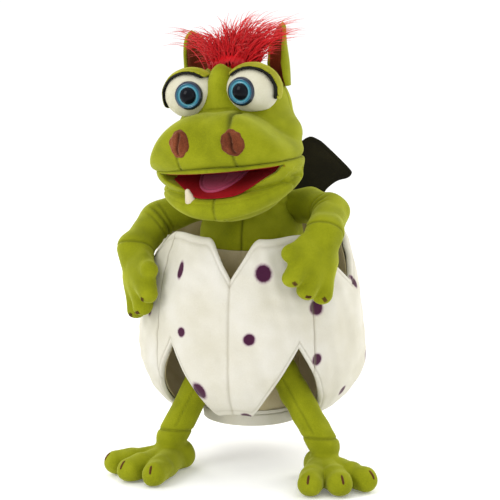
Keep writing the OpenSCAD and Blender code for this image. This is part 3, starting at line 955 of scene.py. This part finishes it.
def ear_grid(side, radius, shrink, top):
    z = np.linspace(-4, top, EAR_ROWS)
    half = np.interp(z, LEAF_Z, LEAF_W) * shrink
    u = np.linspace(-1, 1, EAR_COLS)
    # A half tube that opens a little towards the tip, with its outer edge rolled out.
    angle = np.clip(half / 15.5, 0, 1)[:, None] * u * math.radians(84)
    curl = 1 + 0.10 * smooth((z - 30) / 30)[:, None]
    x = radius * curl * np.sin(angle)
    y = radius * curl * np.cos(angle) + 0.6 * np.sin(z / 9)[:, None]
    Z = np.broadcast_to(z[:, None], x.shape) + 0.5 * np.cos(u * 3)[None, :]
    local = np.stack([x, y, Z], -1)
    c, s = math.cos(EAR_FACING), math.sin(EAR_FACING)
    turned = local @ np.array([[c, s, 0], [-s, c, 0], [0, 0, 1]])
    out = turned + EAR_AT
    out[..., 0] *= side
    return out[:, ::-1] if side > 0 else out


def edge_taper(thick, edge):
    """Thickness of an ear's cloth, rounded off towards its sides and its tip."""
    u = np.minimum(np.arange(EAR_COLS), np.arange(EAR_COLS)[::-1])
    v = np.arange(EAR_ROWS)[::-1]
    t = np.clip(np.minimum(u[None, :], v[:, None]) / edge, 0, 1)
    return 0.25 + (thick - 0.25) * np.sqrt(1 - (1 - t) ** 2)


def ears():
    for side, label in ((1, "left"), (-1, "right")):
        grid = ear_grid(side, EAR_R - 0.2, 1.0, 52)
        verts, faces = slab(grid, edge_taper(3.6, 4))
        ob = solid("ear_leaf_" + label, verts, faces, GREEN, None, None, IN_HEAD)
        finish_piece(ob, "ear_" + label, ("ear_" + label,))
        inner = ear_grid(side, EAR_R - 2.6, 0.9, 48.5)
        verts, faces = slab(inner, edge_taper(1.1, 2))
        ob = solid("ear_inside_" + label, verts, faces, LINING, None, None, IN_HEAD)
        finish_piece(ob, "ear_" + label, ("ear_lining_" + label,))


# ---------------------------------------------------------------- neck and torso


def tube(name, radius_fn, zs, wall, mat, cols=180, marks=None):
    a = np.linspace(0, 2 * math.pi, cols, endpoint=False)
    zs = np.asarray(zs, float)
    A, Z = np.meshgrid(a, zs)
    r = radius_fn(A, Z)
    grid = np.stack([r * np.cos(A), r * np.sin(A), Z], -1)
    verts, faces = slab(grid, wall, closed=True)
    values = {"crease_shade": np.zeros(len(verts))}
    for key, fn in (marks or {}).items():
        values[key] = fn(verts)
    return solid(name, verts, faces, mat, None, values), grid


CHEST_Z = [14, 120, 150, 166, 176, 182, 186, 190, 194, 197, 199, 203]
CHEST_R = [45.5, 45.5, 47.5, 47.8, 47.3, 45.9, 44.2, 41.9, 39.2, 37.9, 37.2, 36.2]


def chest_radius(A, Z):
    p = np.stack([50 * np.cos(A), 50 * np.sin(A), Z], -1).reshape(-1, 3)
    folds = 0.8 * waves(p * vec(1, 1, 0.35), 26, 31).reshape(A.shape)
    seam = groove(np.cos(A) * 46, 1.2) * (np.sin(A) < 0)
    return np.interp(Z, CHEST_Z, CHEST_R) - 2.0 + folds - 0.9 * seam


# Painted shade in the chest's front seam.
def front_seam_shade(p):
    return 0.8 * groove(p[:, 0], 1.1) * (p[:, 1] < 0)


def torso():
    ob, _ = tube("torso_skin", chest_radius, np.linspace(163, 203, 46), 3.2, GREEN, 300,
            {"crease_shade": front_seam_shade})
    finish_piece(ob, "body", ("body_sleeve",))
    ob, _ = tube("sleeve_lining", lambda A, Z: chest_radius(A, Z) - 0.2 + 0.4 * smooth((Z - 160) / 4),
            np.linspace(12, 164, 60), 2.4, BEIGE, 200)
    finish_piece(ob, "body", ())

    def hem(A, Z):
        stitch = 0.5 * groove(Z - 10.5, 0.9)
        return 43.8 - stitch + 0.25 * np.sin(A * 34) * smooth((Z - 6) / 6) + 0.5 * np.sin(Z / 14 * math.pi)

    # Painted shade along the hem's stitch line.
    ob, _ = tube("cuff_hem", hem, np.linspace(0.2, 14, 26), 3.0, EGG, 240,
            {"crease_shade": lambda p: 0.6 * groove(p[:, 2] - 10.5, 0.8)})
    finish_piece(ob, "body", ("sleeve_cuff",))


def neck():
    """Three gathered bands, each across one joint of the neck."""
    def gathers(A, Z):
        fold = 1.1 * np.sin(A * 11 + 0.8 * np.sin(A * 3)) + 0.5 * np.sin(A * 23 + 1)
        return 35.0 + 0.55 * fold + 1.0 * np.cos((Z - 204) / 9.5 * 2 * math.pi)

    bands = [("neck_band_low", 201, 212, ("body", "neck_base"), (202.5, 208), ("neck_lower",)),
            ("neck_band_mid", 212, 226, ("neck_base", "neck_top"), (214, 221), ("neck_upper",)),
            ("neck_band_top", 226, 241, ("neck_top", "head"), (228.5, 235.5), ())]
    for name, z0, z1, bodies, (s, e), nodes in bands:
        ob, _ = tube(name, gathers, np.linspace(z0, z1, 15), 2.4, GREEN, 220)
        finish_piece(ob, (*bodies, vec(0, 0, s), vec(0, 0, e)), nodes)


# ---------------------------------------------------------------- arms


def unit(v):
    return v / np.linalg.norm(v)


def limb_field(points, radii, blend=4.0, hand=None):
    def f(p):
        d = None
        for i in range(len(points) - 1):
            c = cone(p, points[i], points[i + 1], radii[i], radii[i + 1])
            d = c if d is None else smin(d, c, blend)
        if hand:
            d = smin(d, hand(p), 5.0)
        return d
    return f


def hand_field(wrist, tip, thumb_side):
    down = unit(tip - wrist)
    out0 = vec(wrist[0] + tip[0], wrist[1] + tip[1], 0)
    out = unit(out0 - (out0 @ down) * down)
    across = np.cross(down, out) * thumb_side
    reach = np.linalg.norm(tip - wrist)

    def at(u, v, w=0.0):
        return wrist + down * u + across * v + out * w

    def f(p):
        rel = p - wrist
        u, v, w = rel @ down, rel @ across, rel @ out
        flat = np.stack([u, v, w * 1.3], 1)
        palm = ellipsoid(flat, (27, 1, 0), (25, 25, 15))
        d = smin(palm, cone(p, at(0, 0), at(20, 0), 14.6, 13.5), 7)
        for a, b, ra, rb in (
            (at(26, -9), at(reach - 12, -18.5), 12.0, 8.8),
            (at(26, 0), at(reach - 9, -1), 12.0, 9.2),
            (at(26, 9), at(reach - 12.5, 17.5), 12.0, 8.8),
            (at(22, 9), at(33, 27), 11.0, 8.6),
        ):
            d = smin(d, cone(p, a, b, ra, rb), 4.5)
        return d

    tips = [at(reach - 7, -18, 6), at(reach - 2, -1, 6), at(reach - 7, 17, 6)]
    return f, tips, down, across


def arms():
    layout = (
        ("left", 1, vec(53, -3, 200), vec(77, -24, 197), vec(79, -64, 186), vec(65, -94, 131)),
        ("right", -1, vec(-54, -3, 198), vec(-86, -14, 183), vec(-98, -48, 162), vec(-82, -80, 108)),
    )
    for label, side, shoulder, elbow, wrist, tip in layout:
        root = vec(30 * side, 2, 196)
        hand, tips, down, across = hand_field(wrist, tip, side)
        base = limb_field([root, shoulder, elbow, wrist, wrist + down * 10], [14.5, 15.5, 16.2, 15.2, 14.6],
                5.0, hand)
        upper, fore = unit(elbow - shoulder), unit(wrist - elbow)
        inner = unit(unit(shoulder - elbow) + unit(wrist - elbow))
        wrist_dir = unit(fore + down)

        def folds(p):
            rel = p - elbow
            near = smooth((rel @ inner + 2) / 10) * smooth((34 - norm(rel)) / 10)
            chord = unit(upper + fore)
            t = rel @ chord
            return near * (1.9 * groove(t - 1.5, 1.7) + 1.2 * groove(t + 6 - 0.15 * (rel @ inner), 1.5)
                    + 1.0 * groove(t - 8.5, 1.5))

        def cuff(p):
            t = (p - wrist) @ wrist_dir - 1.0 - 2.0 * np.cos((p - wrist) @ np.cross(wrist_dir,
                    vec(0, 0, 1)) / 9)
            return groove(t, 1.1)

        def f(p):
            return base(p) + folds(p) + 0.9 * cuff(p) + 0.45 * waves(p, 22, 41 + side)

        pts = np.array([root, shoulder, elbow, wrist, tip])
        lo, hi = pts.min(0) - 30, pts.max(0) + 30
        verts, faces, normals = net(f, lo, hi, 1.5)
        # Painted shade in the elbow folds and the wrist seam.
        marks = {"crease_shade": np.clip(0.35 * folds(verts) + 0.65 * cuff(verts), 0, 1)}
        mid = verts[faces].mean(1)
        t1 = (mid - (shoulder + elbow) / 2) @ upper
        t2 = (mid - (elbow + wrist) / 2) @ fore
        first = (t1 < 0) & (t2 < 0)
        last = t2 > 0
        chord = unit(upper + fore)
        pieces = [
            ("arm_root_" + label, first, ("body", "upper_arm_" + label, shoulder - upper * 7,
                shoulder + upper * 7),
             ("upper_arm_" + label,)),
            ("arm_elbow_" + label, ~first & ~last, ("upper_arm_" + label, "forearm_" + label,
                elbow - chord * 9, elbow + chord * 9), ("forearm_"
                + label,)),
            ("hand_mitten_" + label, last, ("forearm_" + label, "hand_" + label,
                wrist - wrist_dir * 9, wrist + wrist_dir * 9), ("hand_"
                + label,)),
        ]
        for name, keep, body, nodes in pieces:
            ob = solid(name, *swap(part_of(verts, faces, normals, marks, keep), GREEN))
            finish_piece(ob, body, nodes)
        # Small dark stitches at the finger tips.
        stitches(f, tips, down, across, label, "hand_" + label)


def add_rod(verts, faces, rings):
    """A closed rod through rings of points that all have the same count."""
    k, m = len(verts), len(rings[0])
    for ring in rings:
        verts.extend(ring)
    for s in range(len(rings) - 1):
        for w in range(m):
            x = (w + 1) % m
            faces.append((k + s * m + w, k + s * m + x, k + (s + 1) * m + x, k + (s + 1) * m + w))
    faces.append(tuple(k + w for w in range(m))[::-1])
    faces.append(tuple(k + (len(rings) - 1) * m + w for w in range(m)))


def stitches(f, tips, down, across, label, body):
    """Three short threads at each finger tip."""
    verts, faces = [], []
    for i, tip in enumerate(tips):
        p = tip[None]
        for _ in range(12):
            p = p + to_surface(f, p)
        n = unit(gradient(f, p)[0])
        a = unit(across * 0.8 + down * (0.5 if i % 2 else -0.4))
        a = unit(a - (a @ n) * n)
        b = np.cross(n, a)
        for row in range(3):
            c = p[0] + b * (row - 1) * 1.1
            rings = []
            for t in np.linspace(-1, 1, 7):
                q = c + a * t * 2.6 + n * (0.45 * (1 - t * t) - 0.15)
                rings.append([q + b * math.cos(w * math.pi / 2) * 0.42 + n * math.sin(w * math.pi / 2)
                        * 0.35
                        for w in range(4)])
            add_rod(verts, faces, rings)
    ob = solid("finger_stitches_" + label, np.array(verts), faces, THREAD)
    finish_piece(ob, body)


# ---------------------------------------------------------------- legs and feet

SOLE = -40
TOE_SPREAD = 28


def legs():
    layout = (
        ("left", vec(39, -52, 56), vec(77, -62, -5), 27),
        ("right", vec(-33, -53, 50), vec(-60, -62, -5), -33),
    )
    for label, hip, ankle, turn in layout:
        a = math.radians(turn)
        spin = np.array([[math.cos(a), -math.sin(a), 0], [math.sin(a), math.cos(a), 0], [0, 0, 1]])
        foot_at = vec(ankle[0], ankle[1], SOLE)
        axis = unit(ankle - hip)

        def toe(i, along, z):
            b = math.radians(TOE_SPREAD * i)
            q = vec(math.sin(b) * along, -math.cos(b) * along, z)
            return spin @ q + foot_at

        def foot(p):
            d = cone(p, spin @ vec(0, -13, 12.3) + foot_at, spin @ vec(0, 9, 12.1) + foot_at, 12.9, 13.5)
            for i in (-1, 0, 1):
                t = smin(cone(p, toe(i, 5, 12), toe(i, 38, 11.4), 12.6, 11.6),
                        cone(p, toe(i, 38, 11.4), toe(i, 53.5, 10.8), 11.6, 11.2), 2)
                d = smin(d, t, 1.6)
            return d

        def f(p):
            leg = cone(p, hip - axis * 4, ankle + axis * 6, 13.4, 13.6)
            d = smin(leg, foot(p), 4.5)
            seam = (p - ankle) @ unit(vec(0, 0.15, 1)) - 3.0
            d = d + 1.1 * groove(seam, 1.2)
            side = (p - hip) @ unit(np.cross(axis, vec(0, 1, 0)))
            d = d + 0.6 * groove(side, 0.9) * smooth(((p - ankle)[:, 2] - 6) / 6)
            d = d + 0.5 * waves(p, 20, 51)
            return smax(d, SOLE - p[:, 2], 2.5)

        pts = np.array([hip, ankle, toe(-1, 66, 0), toe(1, 66, 0), toe(0, 66, 0), foot_at])
        verts, faces, normals = net(f, pts.min(0) - 24, pts.max(0) + 20, 1.6)
        # Painted shade in the ankle seam and the side seam of each leg.
        dark = (0.6 * groove((verts - ankle) @ unit(vec(0, 0.15, 1)) - 3.0, 1.2)
                + 0.4 * groove((verts - hip) @ unit(np.cross(axis, vec(0, 1, 0))),
                0.9) * smooth(((verts - ankle)[:, 2] - 6) / 6))
        marks = {"crease_shade": np.clip(dark, 0, 1)}
        mid = verts[faces].mean(1)
        high = (mid - (hip + ankle) / 2) @ axis < 0
        ob = solid("leg_upper_" + label, *swap(part_of(verts, faces, normals, marks, high), GREEN))
        finish_piece(ob, ("body", "leg_" + label, hip - axis * 5, hip + axis * 10),
                ("leg_" + label,))
        ob = solid("foot_toes_" + label, *swap(part_of(verts, faces, normals, marks, ~high), GREEN))
        finish_piece(ob, ("leg_" + label, "foot_" + label, ankle + vec(0, 0, 10), ankle - vec(0, 0, 7)),
                ("foot_" + label,))
        claws(f, toe, label)


CLAW_SECTION = [(-1, -0.2), (-0.6, 0.55), (0, 0.75), (0.6, 0.55), (1, -0.2), (0, -0.9)]


def claws(f, toe, label):
    """A short satin-stitched bar up the end of each toe."""
    verts, faces = [], []
    for i in (-1, 0, 1):
        outer, inner = toe(i, 80, 17), toe(i, 40, 17)
        line = []
        for z in np.linspace(13.5, 20.5, 22):
            p = toe(i, 61, z)[None]
            towards = unit(outer - inner)
            for _ in range(14):
                d = f(p)
                p = p - d[:, None] * towards * 0.7
            line.append(p[0])
        line = np.array(line)
        g = gradient(f, line)
        n = g / norm(g)[:, None]
        along = np.gradient(line, axis=0)
        along /= norm(along)[:, None]
        b = np.cross(n, along)
        t = np.linspace(-1, 1, len(line))
        half = 1.15 * np.sqrt(np.maximum(0.03, 1 - t**4))
        ridge = 0.18 * np.abs(np.sin(np.arange(len(line)) * math.pi / 2))
        add_rod(verts, faces, [[line[s] + b[s] * half[s] * u + n[s] * (h * 0.8 + ridge[s]) * min(1, half[s])
                for u, h in CLAW_SECTION] for s in range(len(line))])
    ob = solid("claw_stitching_" + label, np.array(verts), faces, THREAD)
    finish_piece(ob, "foot_" + label, ("toe_claws_" + label,))


# ---------------------------------------------------------------- egg

BELLY_Z, EGG_R, EGG_UP, EGG_DOWN = 68, 103, 187, 78.8
RIM_Z, EGG_WALL = 180, 5.0
NOTCHES = [(0, 17, 144), (80, 33, 134), (-80, 33, 134), (180, 31, 141)]
LEG_HOLES = [(36, 84, 56), (-33, 84, 50)]


def egg_radius(z):
    h = np.where(z < BELLY_Z, EGG_DOWN, EGG_UP)
    return EGG_R * np.sqrt(np.maximum(0.05, 1 - ((z - BELLY_Z) / h) ** 2))


def wrapped(a):
    return (a + 180) % 360 - 180


def rim_height(front):
    """Height of the torn rim at an angle from the front, in degrees: tongues between notches."""
    top = np.full_like(front, float(RIM_Z))
    for at, half, low in NOTCHES:
        across = np.abs(wrapped(front - at))
        slope = EGG_R * np.tan(np.radians(np.minimum(across, 80)))
        line = low + slope * (RIM_Z + 8 - low) / (EGG_R * math.tan(math.radians(half)))
        line = np.where(across < 80, line, 400.0)
        top = smin(top, line, 9.0)
    return top + 1.0 * np.sin(np.radians(front) * 9 + 1)


def hem_height(front):
    low = np.zeros_like(front)
    for at, peak, half in LEG_HOLES:
        across = np.radians(np.abs(wrapped(front - at)))
        wide = np.where(across < 1.2, EGG_R * np.tan(np.minimum(across, 1.2)), 400.0)
        line = peak - wide * (peak + 8) / half * 0.93
        low = smax(low, line, 6.0)
    flap = 19.0 - 0.09 * (wrapped(front - 1.5) / 2.2) ** 2
    return smax(low, np.where(np.abs(front) < 40, flap, 0.0), 7.0)


QUILT_PUFF = 1.7
QUILT_SEAMS = (0, 45, -45, 135, -135, 180)


def egg_quilt(front):
    """How far the padding stands out, and how much painted shade goes in the seams."""
    near = np.full(front.shape, 999.0)
    for s in QUILT_SEAMS:
        near = np.minimum(near, np.abs(wrapped(front - s)) * EGG_R * math.pi / 180)
    puff = QUILT_PUFF * (1 - np.exp(-((near / 13.0) ** 2)))
    seam = groove(near, 1.1)
    return puff, seam


SPOTS = [  # angle from the front, height, half width, half height, slant: sprayed on the cloth
    (-30.0, 150, 2.8, 7.0, 0.0), (18.0, 151, 6.6, 7.2, 0.1), (-25.5, 96, 3.4, 4.2, -0.3), (10.5, 94, 4.8,
        4.8, -0.3),
    (-16.0, 44, 5.6, 7.4, 0.5), (8.5, 19, 4.6, 2.6, -0.4), (46.0, 72, 4.6, 5.0, -0.5), (47.0, 118, 6.4, 6.0,
        0.0),
    (-54.0, 112, 3.6, 8.6, 0.0), (-84.0, 62, 3.2, 6.8, 0.0), (-9.0, 3, 6.0, 2.2, 0.5), (83.0, 132, 3.0, 5.4,
        0.3),
    (112.0, 96, 5.0, 5.6, 0.2), (140.0, 60, 4.2, 5.0, -0.4), (165.0, 120, 6.0, 6.4, 0.0), (-165.0, 84, 4.0,
        4.8, 0.3),
    (-142.0, 126, 3.4, 6.0, 0.1), (-118.0, 70, 5.6, 5.2, -0.2), (178.0, 36, 5.0, 4.0, 0.3), (120.0, 34, 3.6,
        4.4, 0.0),
    (-125.0, 24, 4.6, 3.6, 0.2), (97.0, 58, 4.4, 5.2, -0.3), (-100.0, 108, 4.0, 4.6, 0.3), (72.0, 34, 4.2,
        4.0, 0.2),
]


def spot_value(front, z):
    out = np.zeros(front.shape)
    for at, height, rx, rz, slant in SPOTS:
        u = wrapped(front - at) * egg_radius(np.array(float(height))) * math.pi / 180
        w = z - height
        a = u * math.cos(slant) + w * math.sin(slant)
        b = -u * math.sin(slant) + w * math.cos(slant)
        d = np.sqrt((a / rx) ** 2 + (b / rz) ** 2)
        out = np.maximum(out, smooth(1.35 - 0.75 * d))
    return out


def egg():
    panels = (("front", -45, 45), ("left", 45, 135), ("back", 135, 225), ("right", 225, 315))
    for label, a0, a1 in panels:
        cols = 151
        front = np.linspace(a0, a1, cols)
        fr = wrapped(front)
        top, low = rim_height(fr), hem_height(fr)
        n_face, n_edge = 110, 8
        # Round the whole edge: out up the outer face, over the rim, and down the inner face.
        half = EGG_WALL / 2
        s = np.linspace(0, 1, n_face)
        arc = np.linspace(0, math.pi, n_edge + 2)[1:-1]
        face_z = low + half + (top - low - 2 * half) * s[:, None]
        bow = half * np.sin(arc)[:, None]
        Z = np.concatenate([face_z, top - half + bow, face_z[::-1], low + half - bow])
        turn = half * np.cos(arc)
        off = np.concatenate([np.full(n_face, half), turn, np.full(n_face, -half), -turn])[:, None] + 0 * Z
        F = np.broadcast_to(fr, Z.shape)
        puff, seam = egg_quilt(F)
        edge = np.minimum(top - Z, Z - low)
        hemline = groove(edge - 6.0, 1.0)
        fade = smooth(edge / 14)
        A = np.radians(F - 90)
        P = np.stack([EGG_R * np.cos(A), EGG_R * np.sin(A), Z], -1).reshape(-1, 3)
        sag = (1.5 * waves(P * vec(1, 1, 0.6), 58, 61) + 0.5 * waves(P, 19, 62)).reshape(Z.shape)
        outer = off > 0.2
        r = egg_radius(Z) - half + off + sag * (0.35 + 0.65 * fade)
        r = r + np.where(outer, puff * fade - 0.9 * seam - 0.9 * hemline, 0)
        r = r + 1.6 * smooth((RIM_Z - 22 - Z) / -24) * np.sin(F / 7.0)
        grid = np.stack([r * np.cos(A), r * np.sin(A), Z], -1)
        rows = len(Z)
        verts = grid.reshape(-1, 3)
        faces = quads_of(rows, cols, True)
        caps = []
        for col, flip in ((0, False), (cols - 1, True)):
            for k in range(n_face - 1):
                inner_a, inner_b = 2 * n_face + n_edge - 1 - k, 2 * n_face + n_edge - 2 - k
                q = [k * cols + col, (k + 1) * cols + col, inner_b * cols + col, inner_a * cols + col]
                caps.append(q[::-1] if flip else q)
        faces = np.concatenate([faces, np.array(caps)])
        # Painted shade in the quilt seams and the hem line, on the outer face only.
        dark = np.where(outer, np.clip(0.75 * seam + 0.45 * hemline, 0, 1), 0.0).ravel()
        spots = np.where(outer, spot_value(F, Z), 0.0).ravel()
        ob = solid("egg_quilt_" + label, verts, faces, EGG, None, {"crease_shade": dark, "spot": spots})
        finish_piece(ob, "body", ("egg_" + label,))

    cols = 480
    fr = np.linspace(-180, 180, cols, endpoint=False)
    top, low = rim_height(fr) - 4.5, hem_height(fr) + 4.5
    t = np.linspace(0, 1, 60)[:, None]
    Z = low + (top - low) * t
    A = np.radians(fr - 90)[None, :] + 0 * Z
    P = np.stack([EGG_R * np.cos(A), EGG_R * np.sin(A), Z], -1).reshape(-1, 3)
    r = egg_radius(Z) - EGG_WALL - 1.3 + (1.5 * waves(P * vec(1, 1, 0.6), 58, 61)).reshape(Z.shape) - 0.4
    grid = np.stack([r * np.cos(A), r * np.sin(A), Z], -1)
    verts, faces = slab(grid, 1.0, closed=True)
    ob = solid("egg_inside", verts, faces, BEIGE)
    finish_piece(ob, "body", ("egg_lining",))


# ---------------------------------------------------------------- wings

WING_OUTLINE = [(0, 184), (0, 208), (14, 236), (36, 258), (48, 257), (60, 247), (78, 229), (80, 224),
        (76, 220), (66, 217), (56, 209), (50, 199), (40, 204), (28, 200), (20, 192), (10, 190)]


def wings():
    a = math.radians(14)
    for side, label in ((1, "left"), (-1, "right")):
        pts = np.array(WING_OUTLINE, float)
        # A smooth closed outline through the drawn points.
        n = len(pts)
        outline = []
        for i in range(n):
            p0, p1, p2, p3 = pts[i - 1], pts[i], pts[(i + 1) % n], pts[(i + 2) % n]
            for t in (0, 0.25, 0.5, 0.75):
                q = 0.5 * ((2 * p1) + (p2 - p0) * t + (2 * p0 - 5 * p1 + 4 * p2 - p3) * t * t
                        + (3 * p1 - p0 - 3 * p2 + p3) * t**3)
                # The first side is straight: it is sewn into the back.
                outline.append(q if i else p1 + (p2 - p1) * t)
        outline = np.array(outline)

        def inside_distance(x, z):
            p = np.stack([x, z], 1)
            best = np.full(len(p), 1e9)
            inside = np.zeros(len(p), bool)
            for k in range(len(outline)):
                u, v = outline[k], outline[(k + 1) % len(outline)]
                e = v - u
                t = np.clip(((p - u) @ e) / (e @ e), 0, 1)
                best = np.minimum(best, norm(p - (u + t[:, None] * e)))
                cross = ((u[1] > z) != (v[1] > z)) & (x < (v[0] - u[0]) * (z - u[1]) / (v[1] - u[1] + 1e-12)
                        + u[0])
                inside ^= cross
            return np.where(inside, -best, best)

        def f(p):
            x, y, z = p.T
            edge = inside_distance(x, z)
            wave = 0.9 * np.sin(x / 17 + z / 31)
            d = smax(edge, np.abs(y - wave) - 1.15, 0.9)
            return d + 0.3 * groove(edge + 3.2, 0.9)

        verts, faces, normals = net(f, (-4, -5, 180), (86, 5, 264), 1.2)
        # Painted shade along the stitched groove inside the wing's edge.
        crease_shade = 0.35 * groove(inside_distance(verts[:, 0], verts[:, 2]) + 3.2, 1.0)
        turn = np.array([[math.cos(a), -math.sin(a), 0], [math.sin(a), math.cos(a), 0], [0, 0, 1]])
        verts, normals = verts @ turn.T + vec(4, 50, -4), normals @ turn.T
        if side < 0:
            verts, normals, faces = verts * MIRROR, normals * MIRROR, faces[:, ::-1]
        ob = solid("wing_felt_" + label, verts, faces, WING, normals, {"crease_shade": crease_shade})
        finish_piece(ob, "wing_" + label, ("wing_" + label,))


# ---------------------------------------------------------------- stage


LENS, VIEW_AZIMUTH, VIEW_HEIGHT = 130.2, 12, 10
VIEW_TARGET, VIEW_DISTANCE = (-0.0074, 0.0256, 0.1509), 1.7
LIGHT_TARGET = (0, -0.02, 0.18)


def stage():
    bpy.context.scene.view_settings.view_transform = "Standard"
    bpy.ops.mesh.primitive_grid_add(x_subdivisions=8, y_subdivisions=8, size=60,
            location=(0, 0, SOLE * MM - 0.0003))
    floor = bpy.context.object
    floor.name = "studio_floor"
    m = Nodes("floor_paper")
    n = m.add("ShaderNodeTexNoise")
    n.inputs["Scale"].default_value = 3
    m.link(m.ramp(n.outputs["Fac"], [(0.3, (0.95, 0.95, 0.95, 1)), (0.7, (0.97, 0.97, 0.97, 1))]),
           m.shader.inputs["Base Color"])
    m.set(Roughness=0.95, Specular_IOR_Level=0.05, Emission_Color=(1, 1, 1, 1), Emission_Strength=0.12)
    floor.data.materials.append(m.mat)

    world = bpy.data.worlds.new("studio")
    bpy.context.scene.world = world
    world.use_nodes = True
    back = world.node_tree.nodes["Background"]
    back.inputs["Color"].default_value = (1, 1, 1, 1)
    back.inputs["Strength"].default_value = 1.0

    warm = (1, 0.99, 0.9)
    for name, at, size, power, tint in (
            ("key", (-0.85, -1.15, 0.95), (0.6, 0.8), 8, (1, 1, 1)),
            ("fill", (1.2, -1.0, 0.6), (0.9, 0.9), 1.5, (1, 1, 1)),
            ("rim_left", (-0.95, 0.75, 0.7), (0.4, 1.0), 6, warm),
            ("rim_right", (0.95, 0.75, 0.7), (0.4, 1.0), 6, warm),
            ("top", (0, 0.1, 1.5), (1.0, 1.0), 3, (1, 1, 1))):
        data = bpy.data.lights.new(name, "AREA")
        data.shape = "RECTANGLE"
        data.size, data.size_y = size
        data.energy, data.color = power, tint
        ob = bpy.data.objects.new(name, data)
        ob.location = at
        ob.rotation_mode = "QUATERNION"
        ob.rotation_quaternion = (Vector(LIGHT_TARGET) - Vector(at)).to_track_quat("-Z", "Y")
        bpy.context.scene.collection.objects.link(ob)

    cam = bpy.data.cameras.new("view")
    cam.lens, cam.sensor_width = LENS, 36.0
    ob = bpy.data.objects.new("view", cam)
    az, el = math.radians(VIEW_AZIMUTH), math.radians(VIEW_HEIGHT)
    toward = Vector((math.sin(az) * math.cos(el), -math.cos(az) * math.cos(el), math.sin(el)))
    ob.location = Vector(VIEW_TARGET) + toward * VIEW_DISTANCE
    ob.rotation_mode = "QUATERNION"
    ob.rotation_quaternion = (-toward).to_track_quat("-Z", "Y")
    cam.clip_start, cam.clip_end = 0.05, 100
    bpy.context.scene.collection.objects.link(ob)
    bpy.context.scene.camera = ob


build_head()
mouth_linings()
tongue()
tooth()
eyes()
nostrils()
hair()
ears()
torso()
neck()
arms()
legs()
egg()
wings()
stage()
